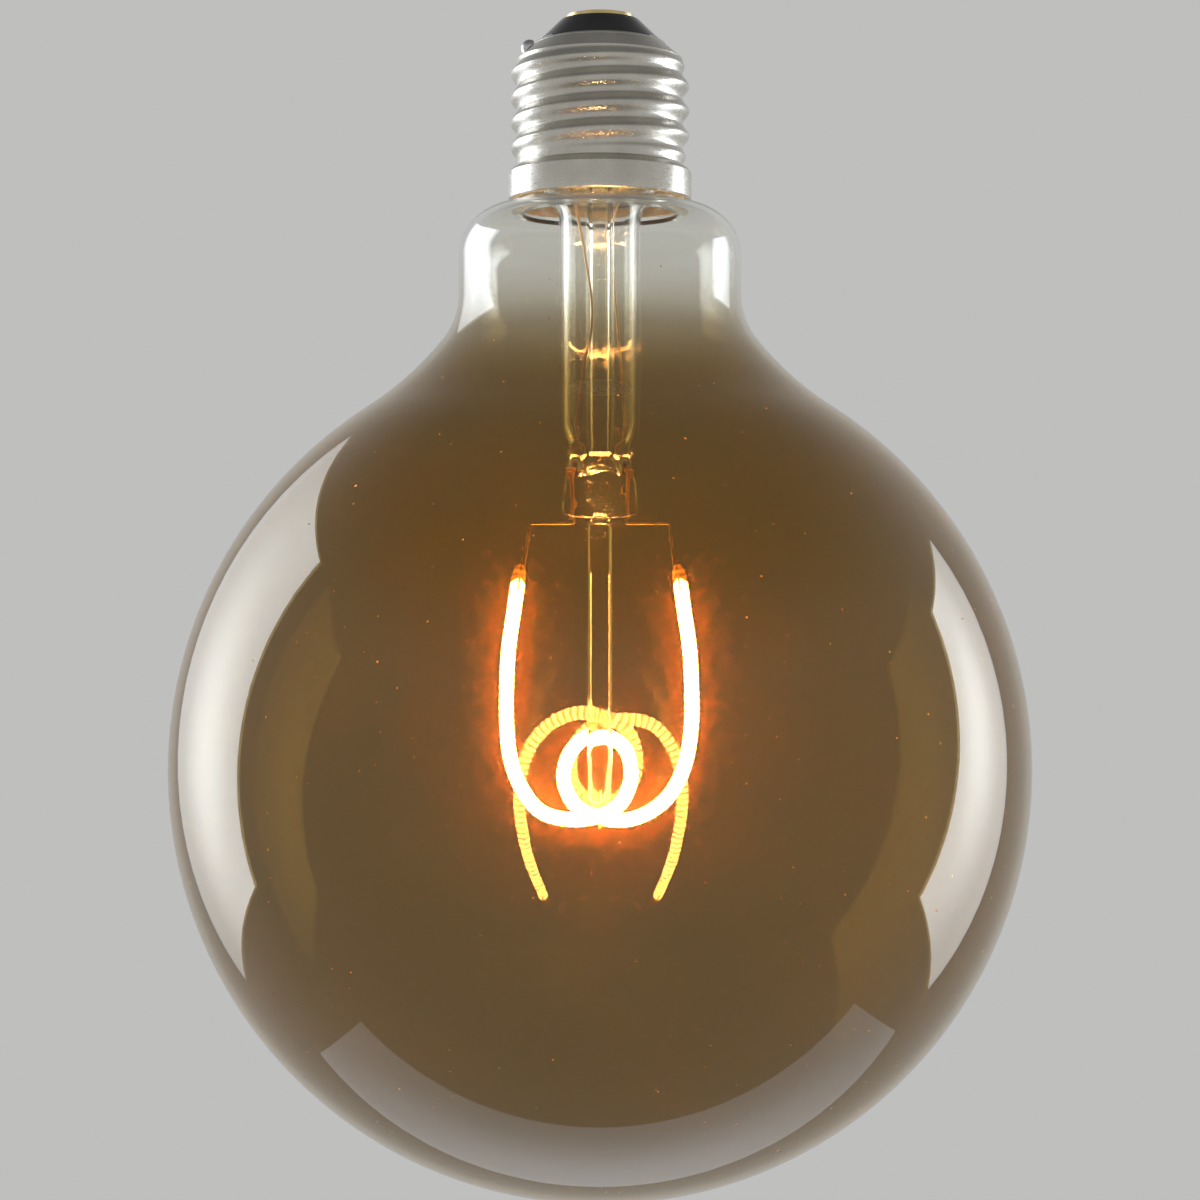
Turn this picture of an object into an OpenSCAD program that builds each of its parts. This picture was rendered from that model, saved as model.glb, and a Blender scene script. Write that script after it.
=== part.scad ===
// Globe filament lamp with an E27 screw cap, drawn cap up as it hangs.
// The origin is the tip of the centre contact, +Z points out of the cap, and the globe hangs below.

/* [Globe] */
// Outside diameter of the blown ball
globe_d = 125; // [118:1:132]
// Thickness of the blown glass
glass_wall = 0.9; // [0.7:0.05:1.1]
// Outside diameter of the straight neck
neck_d = 41.4; // [40:0.2:43]
// Latitude where the ball runs into the hollow sweep of the shoulder, in degrees
sweep_start = 57; // [56.5:0.25:58]
// Radius of the long hollow sweep
sweep_r = 46; // [43:1:50]
// Radius of the short hollow bend into the neck
bend_r = 11; // [9:0.5:13]
// Length of the straight neck
neck_straight = 5.3; // [4:0.1:7]
// Radius of the rounded end of the neck
neck_end_r = 7.6; // [7:0.1:7.8]
// Outside diameter of the seal tube that stands inside the cap
seal_tube_d = 24.6; // [24:0.1:24.9]
// Height of the seal tube
seal_tube_h = 4; // [3.5:0.1:4.5]

/* [Stem] */
// Outside diameter of the flare tube
stem_tube_d = 11.8; // [11.4:0.1:12.4]
// Thickness of the flare tube's glass
stem_wall = 1; // [0.8:0.05:1.1]
// Length of the flare tube's straight run
stem_tube_length = 29.5; // [27:0.5:32]
// Height of the shoulder where the tube is squeezed towards the press
squeeze_h = 4.2; // [3.6:0.1:5]
// Height of the press
press_h = 9.8; // [9:0.1:11]
// Width of the press at its top
press_top_w = 9.6; // [9.4:0.1:10]
// Width of the press near its foot
press_foot_w = 11.1; // [10.6:0.1:12]
// Thickness of the press
press_t = 5.4; // [5.2:0.1:5.8]
// Outside diameter of the exhaust tube
exhaust_d = 4.1; // [3.8:0.05:4.2]
// Inside diameter of the exhaust tube
exhaust_bore = 2.5; // [2.2:0.05:2.7]
// Height of the exhaust tube's sealed tip above the seal
tip_off_h = 4.8; // [4:0.1:5.5]
// Diameter of the hole blown through the press
blow_hole_d = 2.2; // [1.8:0.1:2.5]
// Diameter of the centre rod
rod_d = 3.6; // [3.2:0.1:4]
// Depth of the rod's root inside the press
rod_root = 1.5; // [1:0.1:2]

/* [Leads] */
// Diameter of the wires inside the glass
lead_d = 0.4; // [0.35:0.05:0.45]
// Distance of each seal wire from the centre line
seal_wire_x = 3.8; // [3.7:0.05:3.85]
// Drop of the inner leads' level run below the press
lead_drop = 0.55; // [0.5:0.05:0.8]
// Reach of the inner leads' corner from the centre line
lead_corner_x = 10.2; // [9.8:0.1:10.6]

/* [Filament] */
// Width of the hung filament over its centre line
filament_w = 27; // [25.5:0.5:28]
// Height of the hung filament from its tips to its lowest point
filament_h = 36; // [34:0.5:38]
// Depth that the curl takes, front to back
curl_depth = 8; // [7.8:0.1:9]
// Height of the filament's tips below the press
tip_drop = 7.5; // [7:0.1:8]
// Width of the coated strip
strip_w = 2.2; // [2:0.05:2.4]
// Thickness of the coating over the light chips
coat_outer_t = 1.15; // [0.9:0.05:1.2]
// Thickness of the coating on the back
coat_inner_t = 0.75; // [0.6:0.05:0.8]
// Thickness of the flexible strip
strip_t = 0.2; // [0.15:0.05:0.25]
// Length of one light chip
chip_l = 0.9; // [0.6:0.1:1]
// Width of one light chip
chip_w = 0.6; // [0.4:0.1:0.7]
// Thickness of one light chip
chip_t = 0.2; // [0.15:0.05:0.25]
// Length of the metal tab at each tip
tab_l = 2; // [1.6:0.1:2.4]
// Width of the metal tab
tab_w = 1.1; // [0.9:0.1:1.4]
// Thickness of the metal tab
tab_t = 0.25; // [0.2:0.05:0.3]

/* [Cap] */
// Height of the cap from the contact's tip to its rim
cap_h = 27.5; // [27:0.1:28.5]
// Gap between the cap's rim and the glass shoulder
rim_gap = 0.8; // [0.6:0.1:1.2]
// Thickness of the cap's sheet
cap_wall = 0.4; // [0.3:0.05:0.45]
// Outside diameter of the plain skirt
skirt_d = 26.8; // [26.6:0.1:27.4]
// Height of the plain skirt
skirt_h = 4.1; // [3.8:0.1:4.5]
// Least thickness of the cement between the skirt and the seal tube
cement_min_t = 0.45; // [0.3:0.05:0.6]
// Height of the step from the thread out to the skirt
step_h = 0.9; // [0.8:0.1:1.2]
// Crest diameter of the thread
thread_major_d = 26.2; // [26.05:0.05:26.45]
// Root diameter of the thread
thread_minor_d = 24.2; // [23.96:0.04:24.26]
// Pitch of the thread
thread_pitch = 3.629; // [3.6:0.001:3.65]
// Outside diameter of the shell's upper lip
lip_d = 19.4; // [19:0.1:20]
// Depth of the shell's upper lip below the contact's tip
lip_depth = 4.6; // [4.4:0.1:5]

/* [Contact] */
// Diameter of the contact plate
contact_d = 10; // [9.4:0.1:11]
// Thickness of the contact plate
contact_t = 0.7; // [0.5:0.05:0.9]
// Height of the solder button above the plate
solder_h = 0.6; // [0.5:0.05:0.8]
// Diameter of the solder button where it meets the plate
solder_d = 4.4; // [4:0.1:5]
// Diameter of the flat that is worn on the button
solder_flat_d = 2.4; // [2:0.1:3]
// Diameter of the hole through the plate and the insulator
contact_bore = 1.8; // [1.6:0.1:2.2]
// Thickness of the insulator under the plate
insulator_t = 2.3; // [2:0.1:2.6]
// Depth of the insulator's foot below the contact's tip
insulator_foot = 8; // [7.8:0.1:8.2]
// Width of the insulator's rim, which the board stands against
insulator_rim = 1.75; // [1.6:0.05:1.9]

/* [Driver] */
// Width of the driver board
board_w = 20; // [19.6:0.1:20.4]
// Height of the driver board
board_h = 13.4; // [13:0.1:13.8]
// Thickness of the driver board
board_t = 1; // [0.8:0.1:1.2]
// Distance from the centre line to the board's front
board_y = 2.6; // [2.5:0.05:2.8]
// Diameter of the smoothing capacitor's can
capacitor_d = 6; // [5.6:0.1:6.2]
// Length of the smoothing capacitor's can
capacitor_l = 10.6; // [10:0.1:11]
// Thickness of the capacitor's printed sleeve, left plain
sleeve_t = 0.15; // [0.1:0.05:0.2]
// Thickness of the capacitor's rubber bung
bung_t = 1.2; // [1:0.1:1.5]
// Distance between the capacitor's two leads
capacitor_pitch = 2.5; // [2.2:0.1:2.8]
// Diameter of the fuse resistor
resistor_d = 2.5; // [2.2:0.1:2.7]
// Length of the fuse resistor
resistor_l = 7; // [6.5:0.1:7.4]
// Thickness of the fuse resistor's sleeve
shrink_t = 0.3; // [0.2:0.05:0.35]
// Diameter of the wires inside the cap
hookup_d = 0.6; // [0.5:0.05:0.65]

/* [Hidden] */

// Clearance round a piece that sits in a hole or against a wall
fit_gap = 0.05;
// Gap between a piece and the seat that it stands against
seat_gap = 0.3;
// Degrees between the points of a drawn arc
arc_step = 4;
// Facets of the round parts of a hull
hull_fn = 48;
// Sides of a wire, and rings in each of its bends
wire_sides = 8;
bend_rings = 4;
// Overlap that makes two stretches of one piece into one solid
weld = 0.3;

// Levels up the lamp, from the contact's tip down
rim_z = -cap_h;
neck_end_z = rim_z - rim_gap;
seal_top_z = neck_end_z + seal_tube_h;
neck_r = neck_d / 2;
end_arc_z = neck_end_z - neck_end_r;

// Centres of the ball's, the sweep's and the bend's arcs, each arc running smoothly into the next
ball_r = globe_d / 2;
sweep_c = (ball_r + sweep_r) * [cos(sweep_start), sin(sweep_start)];
bend_dx = neck_r + bend_r - sweep_c[0];
bend_c = sweep_c + [bend_dx, -sqrt(pow(sweep_r - bend_r, 2) - pow(bend_dx, 2))];
sweep_end = atan2(bend_c[1] - sweep_c[1], bend_c[0] - sweep_c[0]) + 360;
ball_z = end_arc_z - neck_straight - bend_c[1];

// Points of an arc about centre c, from angle a to angle b
function arc(c, r, a, b) =
    let (n = ceil(abs(b - a) / arc_step))
    [for (i = [0 : n]) c + r * [cos(a + (b - a) * i / n), sin(a + (b - a) * i / n)]];

// Half outline of the globe, drawn inside the outer face by wall
function globe_outline(wall) = concat(
    arc([0, ball_z], ball_r - wall, -90, sweep_start),
    arc(sweep_c + [0, ball_z], sweep_r + wall, sweep_start + 180, sweep_end),
    arc(bend_c + [0, ball_z], bend_r + wall, sweep_end, 180),
    arc([neck_r - neck_end_r, end_arc_z], neck_end_r - wall, 0, 90),
    [
        [seal_tube_d / 2 - wall, neck_end_z - wall],
        [seal_tube_d / 2 - wall, seal_top_z]
    ]
);

// Points of list p in reverse order
function reversed(p) = [for (i = [len(p) - 1 : -1 : 0]) p[i]];

// Levels and sizes of the stem
stem_r = stem_tube_d / 2;
flare_rim_r = seal_tube_d / 2 - glass_wall - fit_gap;
flare_r = flare_rim_r - stem_r;
flare_z = seal_top_z - stem_wall - flare_r;
squeeze_z = flare_z - stem_tube_length;
press_z = squeeze_z - squeeze_h;
press_foot_z = press_z - press_h;
tip_off_z = seal_top_z + tip_off_h;
exhaust_taper = 3;
foot_round = 1;

// The hung filament, and the rod that ends just above its lowest run
filament_tip_z = press_foot_z - tip_drop;
filament_low_z = filament_tip_z - filament_h;
rod_gap = 1.2;
rod_end_z = filament_low_z + strip_t / 2 + coat_inner_t + rod_gap;
hook_root = 2;

// Route of the filament: a strand down the left, once round the rod, and a strand up the right.
// Across in hundredths of its width, back in hundredths of its depth, up in hundredths of its height
filament_route = [
    [-43, 0, 100], [-46, 0, 84], [-49, 0, 68], [-50, 0, 53], [-50, 0, 38], [-48, -2, 24],
    [-42, -6, 12], [-32, -14, 3], [-18, -26, 0], [-3, -38, 1], [10, -40, 6], [16, -22, 16],
    [14, 18, 26], [6, 52, 31], [-6, 56, 32], [-16, 28, 25], [-19, 2, 15], [-13, 9, 5],
    [0, 11, 0], [14, 8, -1], [28, 3, 3], [39, 0, 11], [46, 0, 23], [49, 0, 38],
    [49, 0, 53], [48, 0, 68], [45, 0, 84], [42, 0, 100]
];
route_steps = 5;
route_size = [filament_w, curl_depth, filament_h] / 100;
route_points = [
    for (p = filament_route)
    [p[0] * route_size[0], p[1] * route_size[1], filament_low_z + p[2] * route_size[2]]
];

function unit(v) = v / norm(v);

// Point at u along the smooth curve from b to c, with neighbours a and d
function curve_point(a, b, c, d, u) =
    (2 * b + (c - a) * u + (2 * a - 5 * b + 4 * c - d) * u * u + (3 * b - a - 3 * c + d) * u * u * u) / 2;

// Smooth curve through points p
function smooth(p, steps) =
    let (last = len(p) - 1)
    concat(
        [
            for (i = [0 : last - 1], k = [0 : steps - 1])
            curve_point(
                i == 0 ? 2 * p[0] - p[1] : p[i - 1], p[i], p[i + 1],
                i == last - 1 ? 2 * p[last] - p[last - 1] : p[i + 2], k / steps
            )
        ],
        [p[last]]
    );

// Straight runs through points p, with each corner rounded off over the length bend
function bent(p, bend) = concat(
    [p[0]],
    [
        for (i = [1 : len(p) - 2])
        let (a = p[i] + bend * unit(p[i - 1] - p[i]), b = p[i] + bend * unit(p[i + 1] - p[i]))
        for (k = [0 : bend_rings])
        let (u = k / bend_rings) (1 - u) * (1 - u) * a + 2 * u * (1 - u) * p[i] + u * u * b
    ],
    [p[len(p) - 1]]
);

// Direction of path p at each of its points
function headings(p) =
    let (last = len(p) - 1)
    [for (i = [0 : last]) unit(p[min(i + 1, last)] - p[max(i - 1, 0)])];

// Normals carried along headings t without twist, from first guess n
function carried(t, n, i = 0, out = []) =
    i == len(t) ? out :
    let (v = unit(n - (n * t[i]) * t[i])) carried(t, v, i + 1, concat(out, [v]));

// Solid swept along path p, with headings t and normals n. Section points are [along n, across],
// and ends lists the faces that close the section, each as the places of its points
module sweep(p, t, n, section, ends) {
    m = len(section);
    last = len(p) - 1;
    closing = is_undef(ends) ? [[for (j = [0 : m - 1]) j]] : ends;
    polyhedron(
        points = [
            for (i = [0 : last]) let (w = cross(t[i], n[i]))
            for (s = section) p[i] + s[0] * n[i] + s[1] * w
        ],
        faces = concat(
            closing,
            [for (f = closing) [for (k = reversed(f)) last * m + k]],
            [
                for (i = [0 : last - 1], j = [0 : m - 1])
                let (k = (j + 1) % m)
                for (f = [
                    [i * m + j, (i + 1) * m + j, (i + 1) * m + k],
                    [i * m + j, (i + 1) * m + k, i * m + k]
                ]) f
            ]
        )
    );
}

// Round wire of diameter d through points p
module wire(p, d, bend) {
    path = bent(p, bend);
    t = headings(path);
    start = abs(t[0][1]) > 0.5 ? [1, 0, 0] : [0, 1, 0];
    ring = [for (j = [0 : wire_sides - 1]) d / 2 * [cos(j * 360 / wire_sides), sin(j * 360 / wire_sides)]];
    sweep(path, t, carried(t, start), ring);
}

// The filament's path, its headings, and its normals, which point out of every bend
strip_path = smooth(route_points, route_steps);
strip_headings = headings(strip_path);
strip_normals = [for (t = strip_headings) unit(cross([0, 1, 0], t))];
strip_last = len(strip_path) - 1;
coat_inset = 1;
coat_gap = 0.1;
strip_edge = 0.05;
channel_gap = 0.15;

// Stretch of list p without its coat_inset first and last entries
function coated(p) = [for (i = [coat_inset : len(p) - 1 - coat_inset]) p[i]];

// Half ellipse from one edge of the strip over to the other
dome_steps = 8;
function dome(h, from) = [
    for (k = [0 : dome_steps])
    [from + h * sin(180 * k / dome_steps), -strip_w / 2 * cos(180 * k / dome_steps)]
];

// Levels and radii of the cap. A wide seal tube pushes the skirt out to keep its cement
skirt_r = max(skirt_d / 2, seal_tube_d / 2 + cement_min_t + 2 * fit_gap + cap_wall);
skirt_top_z = rim_z + skirt_h;
thread_foot_z = skirt_top_z + step_h;
minor_r = thread_minor_d / 2;
major_r = thread_major_d / 2;
lip_r = lip_d / 2;
cone_h = minor_r - lip_r;
thread_top_z = -lip_depth - cone_h;
cone_wall = cap_wall * sqrt(2);
thread_columns = 36;
rows_per_turn = 10;
thread_length = thread_top_z - thread_foot_z;
thread_rows = ceil(thread_length / thread_pitch * rows_per_turn);
fade_length = thread_pitch * 0.6;

// How far the thread has risen out of the plain wall at level z, from 0 to 1
function fade(z) =
    let (u = min(1, (thread_top_z - z) / fade_length, (z - thread_foot_z) / fade_length))
    u * u * (3 - 2 * u);

// Outer radius of the threaded wall at angle a and level z
function thread_r(a, z) =
    minor_r + fade(z) * (major_r - minor_r) / 2 * (1 + cos(a - 360 * z / thread_pitch));

// The insulator's clearance under the shell, and the side wire's place in its rim
insulator_play = 0.12;
side_wire_x = -10.3;
side_wire_top = 0.45;
side_solder_r = 1.3;
cone_outer_z = -lip_depth - (abs(side_wire_x) - lip_r);

// Levels of the parts on the board
board_top_z = -insulator_foot - seat_gap;
board_back_y = board_y + board_t;
pin_stick_out = 0.5;
solder_foot = 0.9;
solder_tip = 0.3;
pin_end_y = board_back_y + pin_stick_out;
capacitor_r = capacitor_d / 2 + sleeve_t;
capacitor_y = board_y - seat_gap - capacitor_r;
capacitor_z = board_top_z - 1.1 - capacitor_r;
capacitor_end_x = -capacitor_l / 2;
capacitor_pin_x = capacitor_end_x - bung_t / 2 - 1;
resistor_x = 7.6;
resistor_y = 0.4;
resistor_top_z = board_top_z - 2.9;
resistor_foot_z = resistor_top_z - resistor_l;
outer_lead_pin_x = 4.9;
outer_lead_pin_z = board_top_z - 11.2;
resistor_pin_z = board_top_z - 12.3;
neutral_pin_x = -8.5;
neutral_pin_z = board_top_z - 9.2;
wire_bend = 0.5;

// Place, across and up, and wire of every hole through the board
board_pins = [
    [-outer_lead_pin_x, outer_lead_pin_z, lead_d],
    [outer_lead_pin_x, outer_lead_pin_z, lead_d],
    [capacitor_pin_x, capacitor_z + capacitor_pitch / 2, lead_d],
    [capacitor_pin_x, capacitor_z - capacitor_pitch / 2, lead_d],
    [resistor_x, resistor_pin_z, hookup_d],
    [neutral_pin_x, neutral_pin_z, hookup_d]
];

// Blown globe with its neck and the tube that is sealed inside the cap
module globe_glass() {
    color([0.62, 0.52, 0.25, 0.45])
    rotate_extrude($fn = 120)
    polygon(concat(globe_outline(0), reversed(globe_outline(glass_wall))));
}

// One level of the squeezed tube or the press, w wide and t thick with round edges
module press_level(z, w, t, h = 0.01) {
    for (s = [-1, 1])
    translate([s * (w - t) / 2, 0, z])
    cylinder(h = h, d = t, $fn = hull_fn);
}

// Round tube squeezed flat towards the press, drawn inside its outer face by wall
module squeezed(wall, low, high) {
    hull() {
        translate([0, 0, squeeze_z]) cylinder(h = high, r = stem_r - wall, $fn = 2 * hull_fn);
        press_level(press_z - low, press_top_w - 1.5 * wall, press_t - 1.5 * wall);
    }
}

// Trumpet-mouthed tube that carries everything inside the globe
module flare_tube() {
    color([0.85, 0.9, 0.85, 0.5])
    difference() {
        union() {
            rotate_extrude($fn = 96)
            polygon(concat(
                arc([flare_rim_r, flare_z], flare_r, 90, 180),
                [[stem_r, squeeze_z], [stem_r - stem_wall, squeeze_z]],
                arc([flare_rim_r, flare_z], flare_r + stem_wall, 180, 90)
            ));
            difference() {
                squeezed(0, 0, weld);
                squeezed(stem_wall, weld, 2 * weld);
            }
        }
        translate([0, 0, press_z - 1])
        cylinder(h = squeeze_h, d = exhaust_d + 2 * fit_gap, $fn = 48);
    }
}

// Flat glass press that is squeezed onto the two seal wires and the rod's root
module stem_press() {
    color([0.85, 0.9, 0.85, 0.5])
    difference() {
        hull() {
            press_level(press_z - 0.01, press_top_w, press_t);
            press_level(press_foot_z + foot_round, press_foot_w, press_t);
            press_level(press_foot_z, press_foot_w - 2 * foot_round, press_t - foot_round);
        }
        for (s = [-1, 1])
        translate([s * seal_wire_x, 0, press_foot_z - 1])
        cylinder(h = press_h + 2, d = lead_d + 2 * fit_gap, $fn = 24);
        translate([0, 0, press_foot_z - 1])
        cylinder(h = rod_root + fit_gap + 1, d = rod_d + 2 * fit_gap, $fn = 48);
        translate([0, 0, press_z - blow_hole_d])
        cylinder(h = blow_hole_d + 1, d = exhaust_bore, $fn = 36);
        translate([0, 0, press_z - blow_hole_d])
        rotate([90, 0, 0])
        cylinder(h = press_t + 2, d = blow_hole_d, center = true, $fn = 36);
    }
}

// Tube through which the globe was pumped, melted shut at its upper tip
module exhaust_tube() {
    bore_r = exhaust_bore / 2;
    wall = exhaust_d / 2 - bore_r;
    color([0.85, 0.9, 0.85, 0.5])
    rotate_extrude($fn = 48)
    polygon([
        [bore_r, press_z + fit_gap],
        [exhaust_d / 2, press_z + fit_gap],
        [exhaust_d / 2, tip_off_z - exhaust_taper],
        [bore_r, tip_off_z - exhaust_taper / 2],
        [wall / 2, tip_off_z - wall / 2],
        [0, tip_off_z],
        [0, tip_off_z - 2 * wall],
        [bore_r / 2, tip_off_z - exhaust_taper / 2 - wall],
        [bore_r, tip_off_z - exhaust_taper]
    ]);
}

// Solid glass rod that holds the curl of the filament
module centre_rod() {
    top = press_foot_z + rod_root;
    tip_round = rod_d * 0.4;
    color([0.85, 0.9, 0.85, 0.5])
    difference() {
        rotate_extrude($fn = 48)
        polygon(concat(
            [[0, top], [0, rod_end_z]],
            arc([rod_d / 2 - tip_round, rod_end_z + tip_round], tip_round, -90, 0),
            [[rod_d / 2, top]]
        ));
        translate([0, 0, rod_end_z - 1])
        cylinder(h = hook_root + 1, d = lead_d + 2 * fit_gap, $fn = 24);
    }
}

// Hooked wire in the rod's tip that cradles the filament's lowest run
module support_hook() {
    front_y = -0.14 * curl_depth;
    back_y = 0.26 * curl_depth + lead_d / 2;
    under_z = filament_low_z - coat_outer_t - lead_d - seat_gap;
    color("silver")
    wire([
        [0, 0, rod_end_z + hook_root - fit_gap],
        [0, 0, rod_end_z - 0.35],
        [0, front_y, rod_end_z - 0.8],
        [0, front_y, under_z],
        [0, back_y, under_z],
        [0, back_y, filament_low_z - strip_t]
    ], lead_d, 0.3);
}

// Copper-clad wire that passes gas-tight through the press
module seal_wire(s) {
    color([0.75, 0.35, 0.2])
    translate([s * seal_wire_x, 0, press_foot_z - fit_gap])
    cylinder(h = press_h + seat_gap + fit_gap, d = lead_d, $fn = 24);
}

module seal_wire_left() {
    seal_wire(-1);
}

module seal_wire_right() {
    seal_wire(1);
}

// Wire from the press up inside the flare tube to the driver board, in front of the exhaust tube
module outer_lead_left() {
    color([0.8, 0.62, 0.4])
    wire([
        [-seal_wire_x, 0, press_z + seat_gap],
        [-seal_wire_x, 0, press_z + 2],
        [-2.2, -2.3, squeeze_z + 8],
        [-1.2, -2.9, squeeze_z + 13],
        [-1.3, -2.9, squeeze_z + 19],
        [-3.3, -1.6, flare_z + 2],
        [-4.3, -0.6, seal_top_z + 1.6],
        [-outer_lead_pin_x, 0.4, outer_lead_pin_z],
        [-outer_lead_pin_x, pin_end_y, outer_lead_pin_z]
    ], lead_d, wire_bend);
}

// Wire from the press up inside the flare tube to the driver board, behind the exhaust tube
module outer_lead_right() {
    color([0.8, 0.62, 0.4])
    wire([
        [seal_wire_x, 0, press_z + seat_gap],
        [seal_wire_x, 0, press_z + 2],
        [2.9, 1.6, squeeze_z + 11],
        [2, 2.6, squeeze_z + 23],
        [1.9, 2.7, flare_z],
        [3.4, 1.6, seal_top_z + 1.6],
        [outer_lead_pin_x, 0.4, outer_lead_pin_z],
        [outer_lead_pin_x, pin_end_y, outer_lead_pin_z]
    ], lead_d, wire_bend);
}

// Bare wire from the press out and down to the filament's tip, s is -1 on the left and 1 on the right
module inner_lead(s) {
    tip = s < 0 ? strip_path[0] : strip_path[strip_last];
    out = s < 0 ? -strip_headings[0] : strip_headings[strip_last];
    normal = s < 0 ? strip_normals[0] : strip_normals[strip_last];
    beside = -normal * (tab_t / 2 + lead_d / 2 + fit_gap);
    color("silver")
    wire([
        [s * seal_wire_x, 0, press_foot_z - fit_gap],
        [s * seal_wire_x, 0, press_foot_z - lead_drop],
        [s * lead_corner_x, 0, press_foot_z - lead_drop],
        tip + out * tab_l + beside,
        tip + out * tab_l * 0.2 + beside
    ], lead_d, lead_drop * 0.8);
}

module inner_lead_left() {
    inner_lead(-1);
}

module inner_lead_right() {
    inner_lead(1);
}

// Thin flexible strip that the light chips sit on
module filament_strip() {
    x = strip_t / 2;
    y = strip_w / 2 + strip_edge;
    color([0.85, 0.8, 0.6])
    sweep(strip_path, strip_headings, strip_normals, [[-x, -y], [x, -y], [x, y], [-x, y]]);
}

// Light chips in a row along the strip's outer face
module filament_chips() {
    color([0.2, 0.35, 0.9])
    for (i = [2 * coat_inset : 2 : strip_last - 2 * coat_inset]) {
        p = strip_path[i];
        n = strip_normals[i];
        t = strip_headings[i];
        w = cross(t, n);
        multmatrix([
            [n[0], w[0], t[0], p[0]],
            [n[1], w[1], t[1], p[1]],
            [n[2], w[2], t[2], p[2]]
        ])
        translate([strip_t / 2 + fit_gap, -chip_w / 2, -chip_l / 2])
        cube([chip_t, chip_w, chip_l]);
    }
}

// Glowing coat over the chips, with a channel along its base for them
module filament_coat_outer() {
    base = strip_t / 2 + coat_gap;
    roof = base + chip_t + channel_gap;
    side = chip_w / 2 + channel_gap;
    crown = dome_steps / 2;
    right = dome_steps + 2;
    left = right + 1;
    color([1, 0.75, 0.3])
    sweep(
        coated(strip_path), coated(strip_headings), coated(strip_normals),
        concat(
            dome(coat_outer_t, base),
            [[base, side], [roof, side], [roof, -side], [base, -side]]
        ),
        concat(
            [for (j = [0 : crown - 1]) [left, j, j + 1]],
            [for (j = [crown : dome_steps]) [right, j, j + 1]],
            [[left, crown, right], [left, left + 1, 0]]
        )
    );
}

// Glowing coat on the strip's back
module filament_coat_inner() {
    base = strip_t / 2 + coat_gap;
    color([1, 0.75, 0.3])
    sweep(
        coated(strip_path), coated(strip_headings), coated(strip_normals),
        reversed([for (p = dome(coat_inner_t, base)) [-p[0], p[1]]])
    );
}

// Metal tab at the strip's tip, s is -1 on the left and 1 on the right
module filament_tab(s) {
    end = s < 0 ? 0 : strip_last;
    p = strip_path[end];
    n = strip_normals[end];
    t = -s * strip_headings[end];
    w = cross(t, n);
    color("silver")
    multmatrix([
        [n[0], w[0], t[0], p[0]],
        [n[1], w[1], t[1], p[1]],
        [n[2], w[2], t[2], p[2]]
    ])
    translate([-tab_t / 2, -tab_w / 2, -tab_l - fit_gap])
    cube([tab_t, tab_w, tab_l]);
}

module filament_tab_left() {
    filament_tab(-1);
}

module filament_tab_right() {
    filament_tab(1);
}

// Levels of the shell's rows of points: the lip, the cone's foot, and down the thread
shell_rows = concat(
    [[-lip_depth, 0]],
    [for (i = [0 : thread_rows]) [thread_top_z - thread_length * i / thread_rows, 1]]
);

// Rolled screw shell with its plain skirt
module cap_shell() {
    m = thread_columns;
    rows = len(shell_rows);
    color([0.8, 0.78, 0.7])
    difference() {
        union() {
            polyhedron(
                points = [
                    for (inside = [0, 1], row = shell_rows, j = [0 : m - 1])
                    let (a = 360 * j / m)
                    let (z = row[0])
                    let (r = row[1] == 0 ? lip_r - inside * cone_wall : thread_r(a, z) - inside * cap_wall)
                    [r * cos(a), r * sin(a), z]
                ],
                faces = concat(
                    [
                        for (i = [0 : rows - 2], j = [0 : m - 1])
                        let (k = (j + 1) % m, a = i * m, b = rows * m + i * m)
                        for (f = [
                            [a + j, a + k, a + m + k], [a + j, a + m + k, a + m + j],
                            [b + j, b + m + k, b + k], [b + j, b + m + j, b + m + k]
                        ]) f
                    ],
                    [
                        for (j = [0 : m - 1])
                        let (k = (j + 1) % m, b = rows * m, e = (rows - 1) * m)
                        for (f = [
                            [j, b + j, b + k], [j, b + k, k],
                            [e + j, e + k, b + e + k], [e + j, b + e + k, b + e + j]
                        ]) f
                    ]
                )
            );
            rotate_extrude($fn = 96)
            polygon([
                [minor_r - cap_wall - 2 * fit_gap, thread_foot_z + weld],
                [minor_r + fit_gap, thread_foot_z + weld],
                [minor_r + fit_gap, thread_foot_z],
                [skirt_r, skirt_top_z],
                [skirt_r, rim_z],
                [skirt_r - cap_wall, rim_z],
                [skirt_r - cap_wall, skirt_top_z - cap_wall],
                [minor_r - cap_wall - 2 * fit_gap, thread_foot_z - cap_wall]
            ]);
        }
        translate([side_wire_x, 0, thread_top_z])
        cylinder(h = cone_h, d = hookup_d + 2 * fit_gap, $fn = 24);
    }
}

// Black glass insulator between the shell and the contact plate
module cap_insulator() {
    plate_z = -solder_h - contact_t;
    top_r = contact_d / 2 + 0.9;
    neck_r = lip_r - cone_wall - insulator_play;
    foot_r = minor_r - cap_wall - 3 * insulator_play;
    shoulder_z = -lip_depth - (foot_r - neck_r);
    color([0.06, 0.06, 0.07])
    difference() {
        rotate_extrude($fn = 96)
        polygon([
            [contact_bore / 2, plate_z],
            [top_r, plate_z],
            [neck_r, -lip_depth + 0.25],
            [neck_r, -lip_depth],
            [foot_r, shoulder_z],
            [foot_r, -insulator_foot],
            [foot_r - insulator_rim, -insulator_foot],
            [foot_r - insulator_rim, -insulator_foot + 0.6],
            [contact_d / 2, plate_z - insulator_t],
            [contact_bore / 2, plate_z - insulator_t]
        ]);
        translate([side_wire_x, 0, -insulator_foot - 1])
        cylinder(h = insulator_foot, d = hookup_d + 2 * fit_gap, $fn = 24);
    }
}

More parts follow.
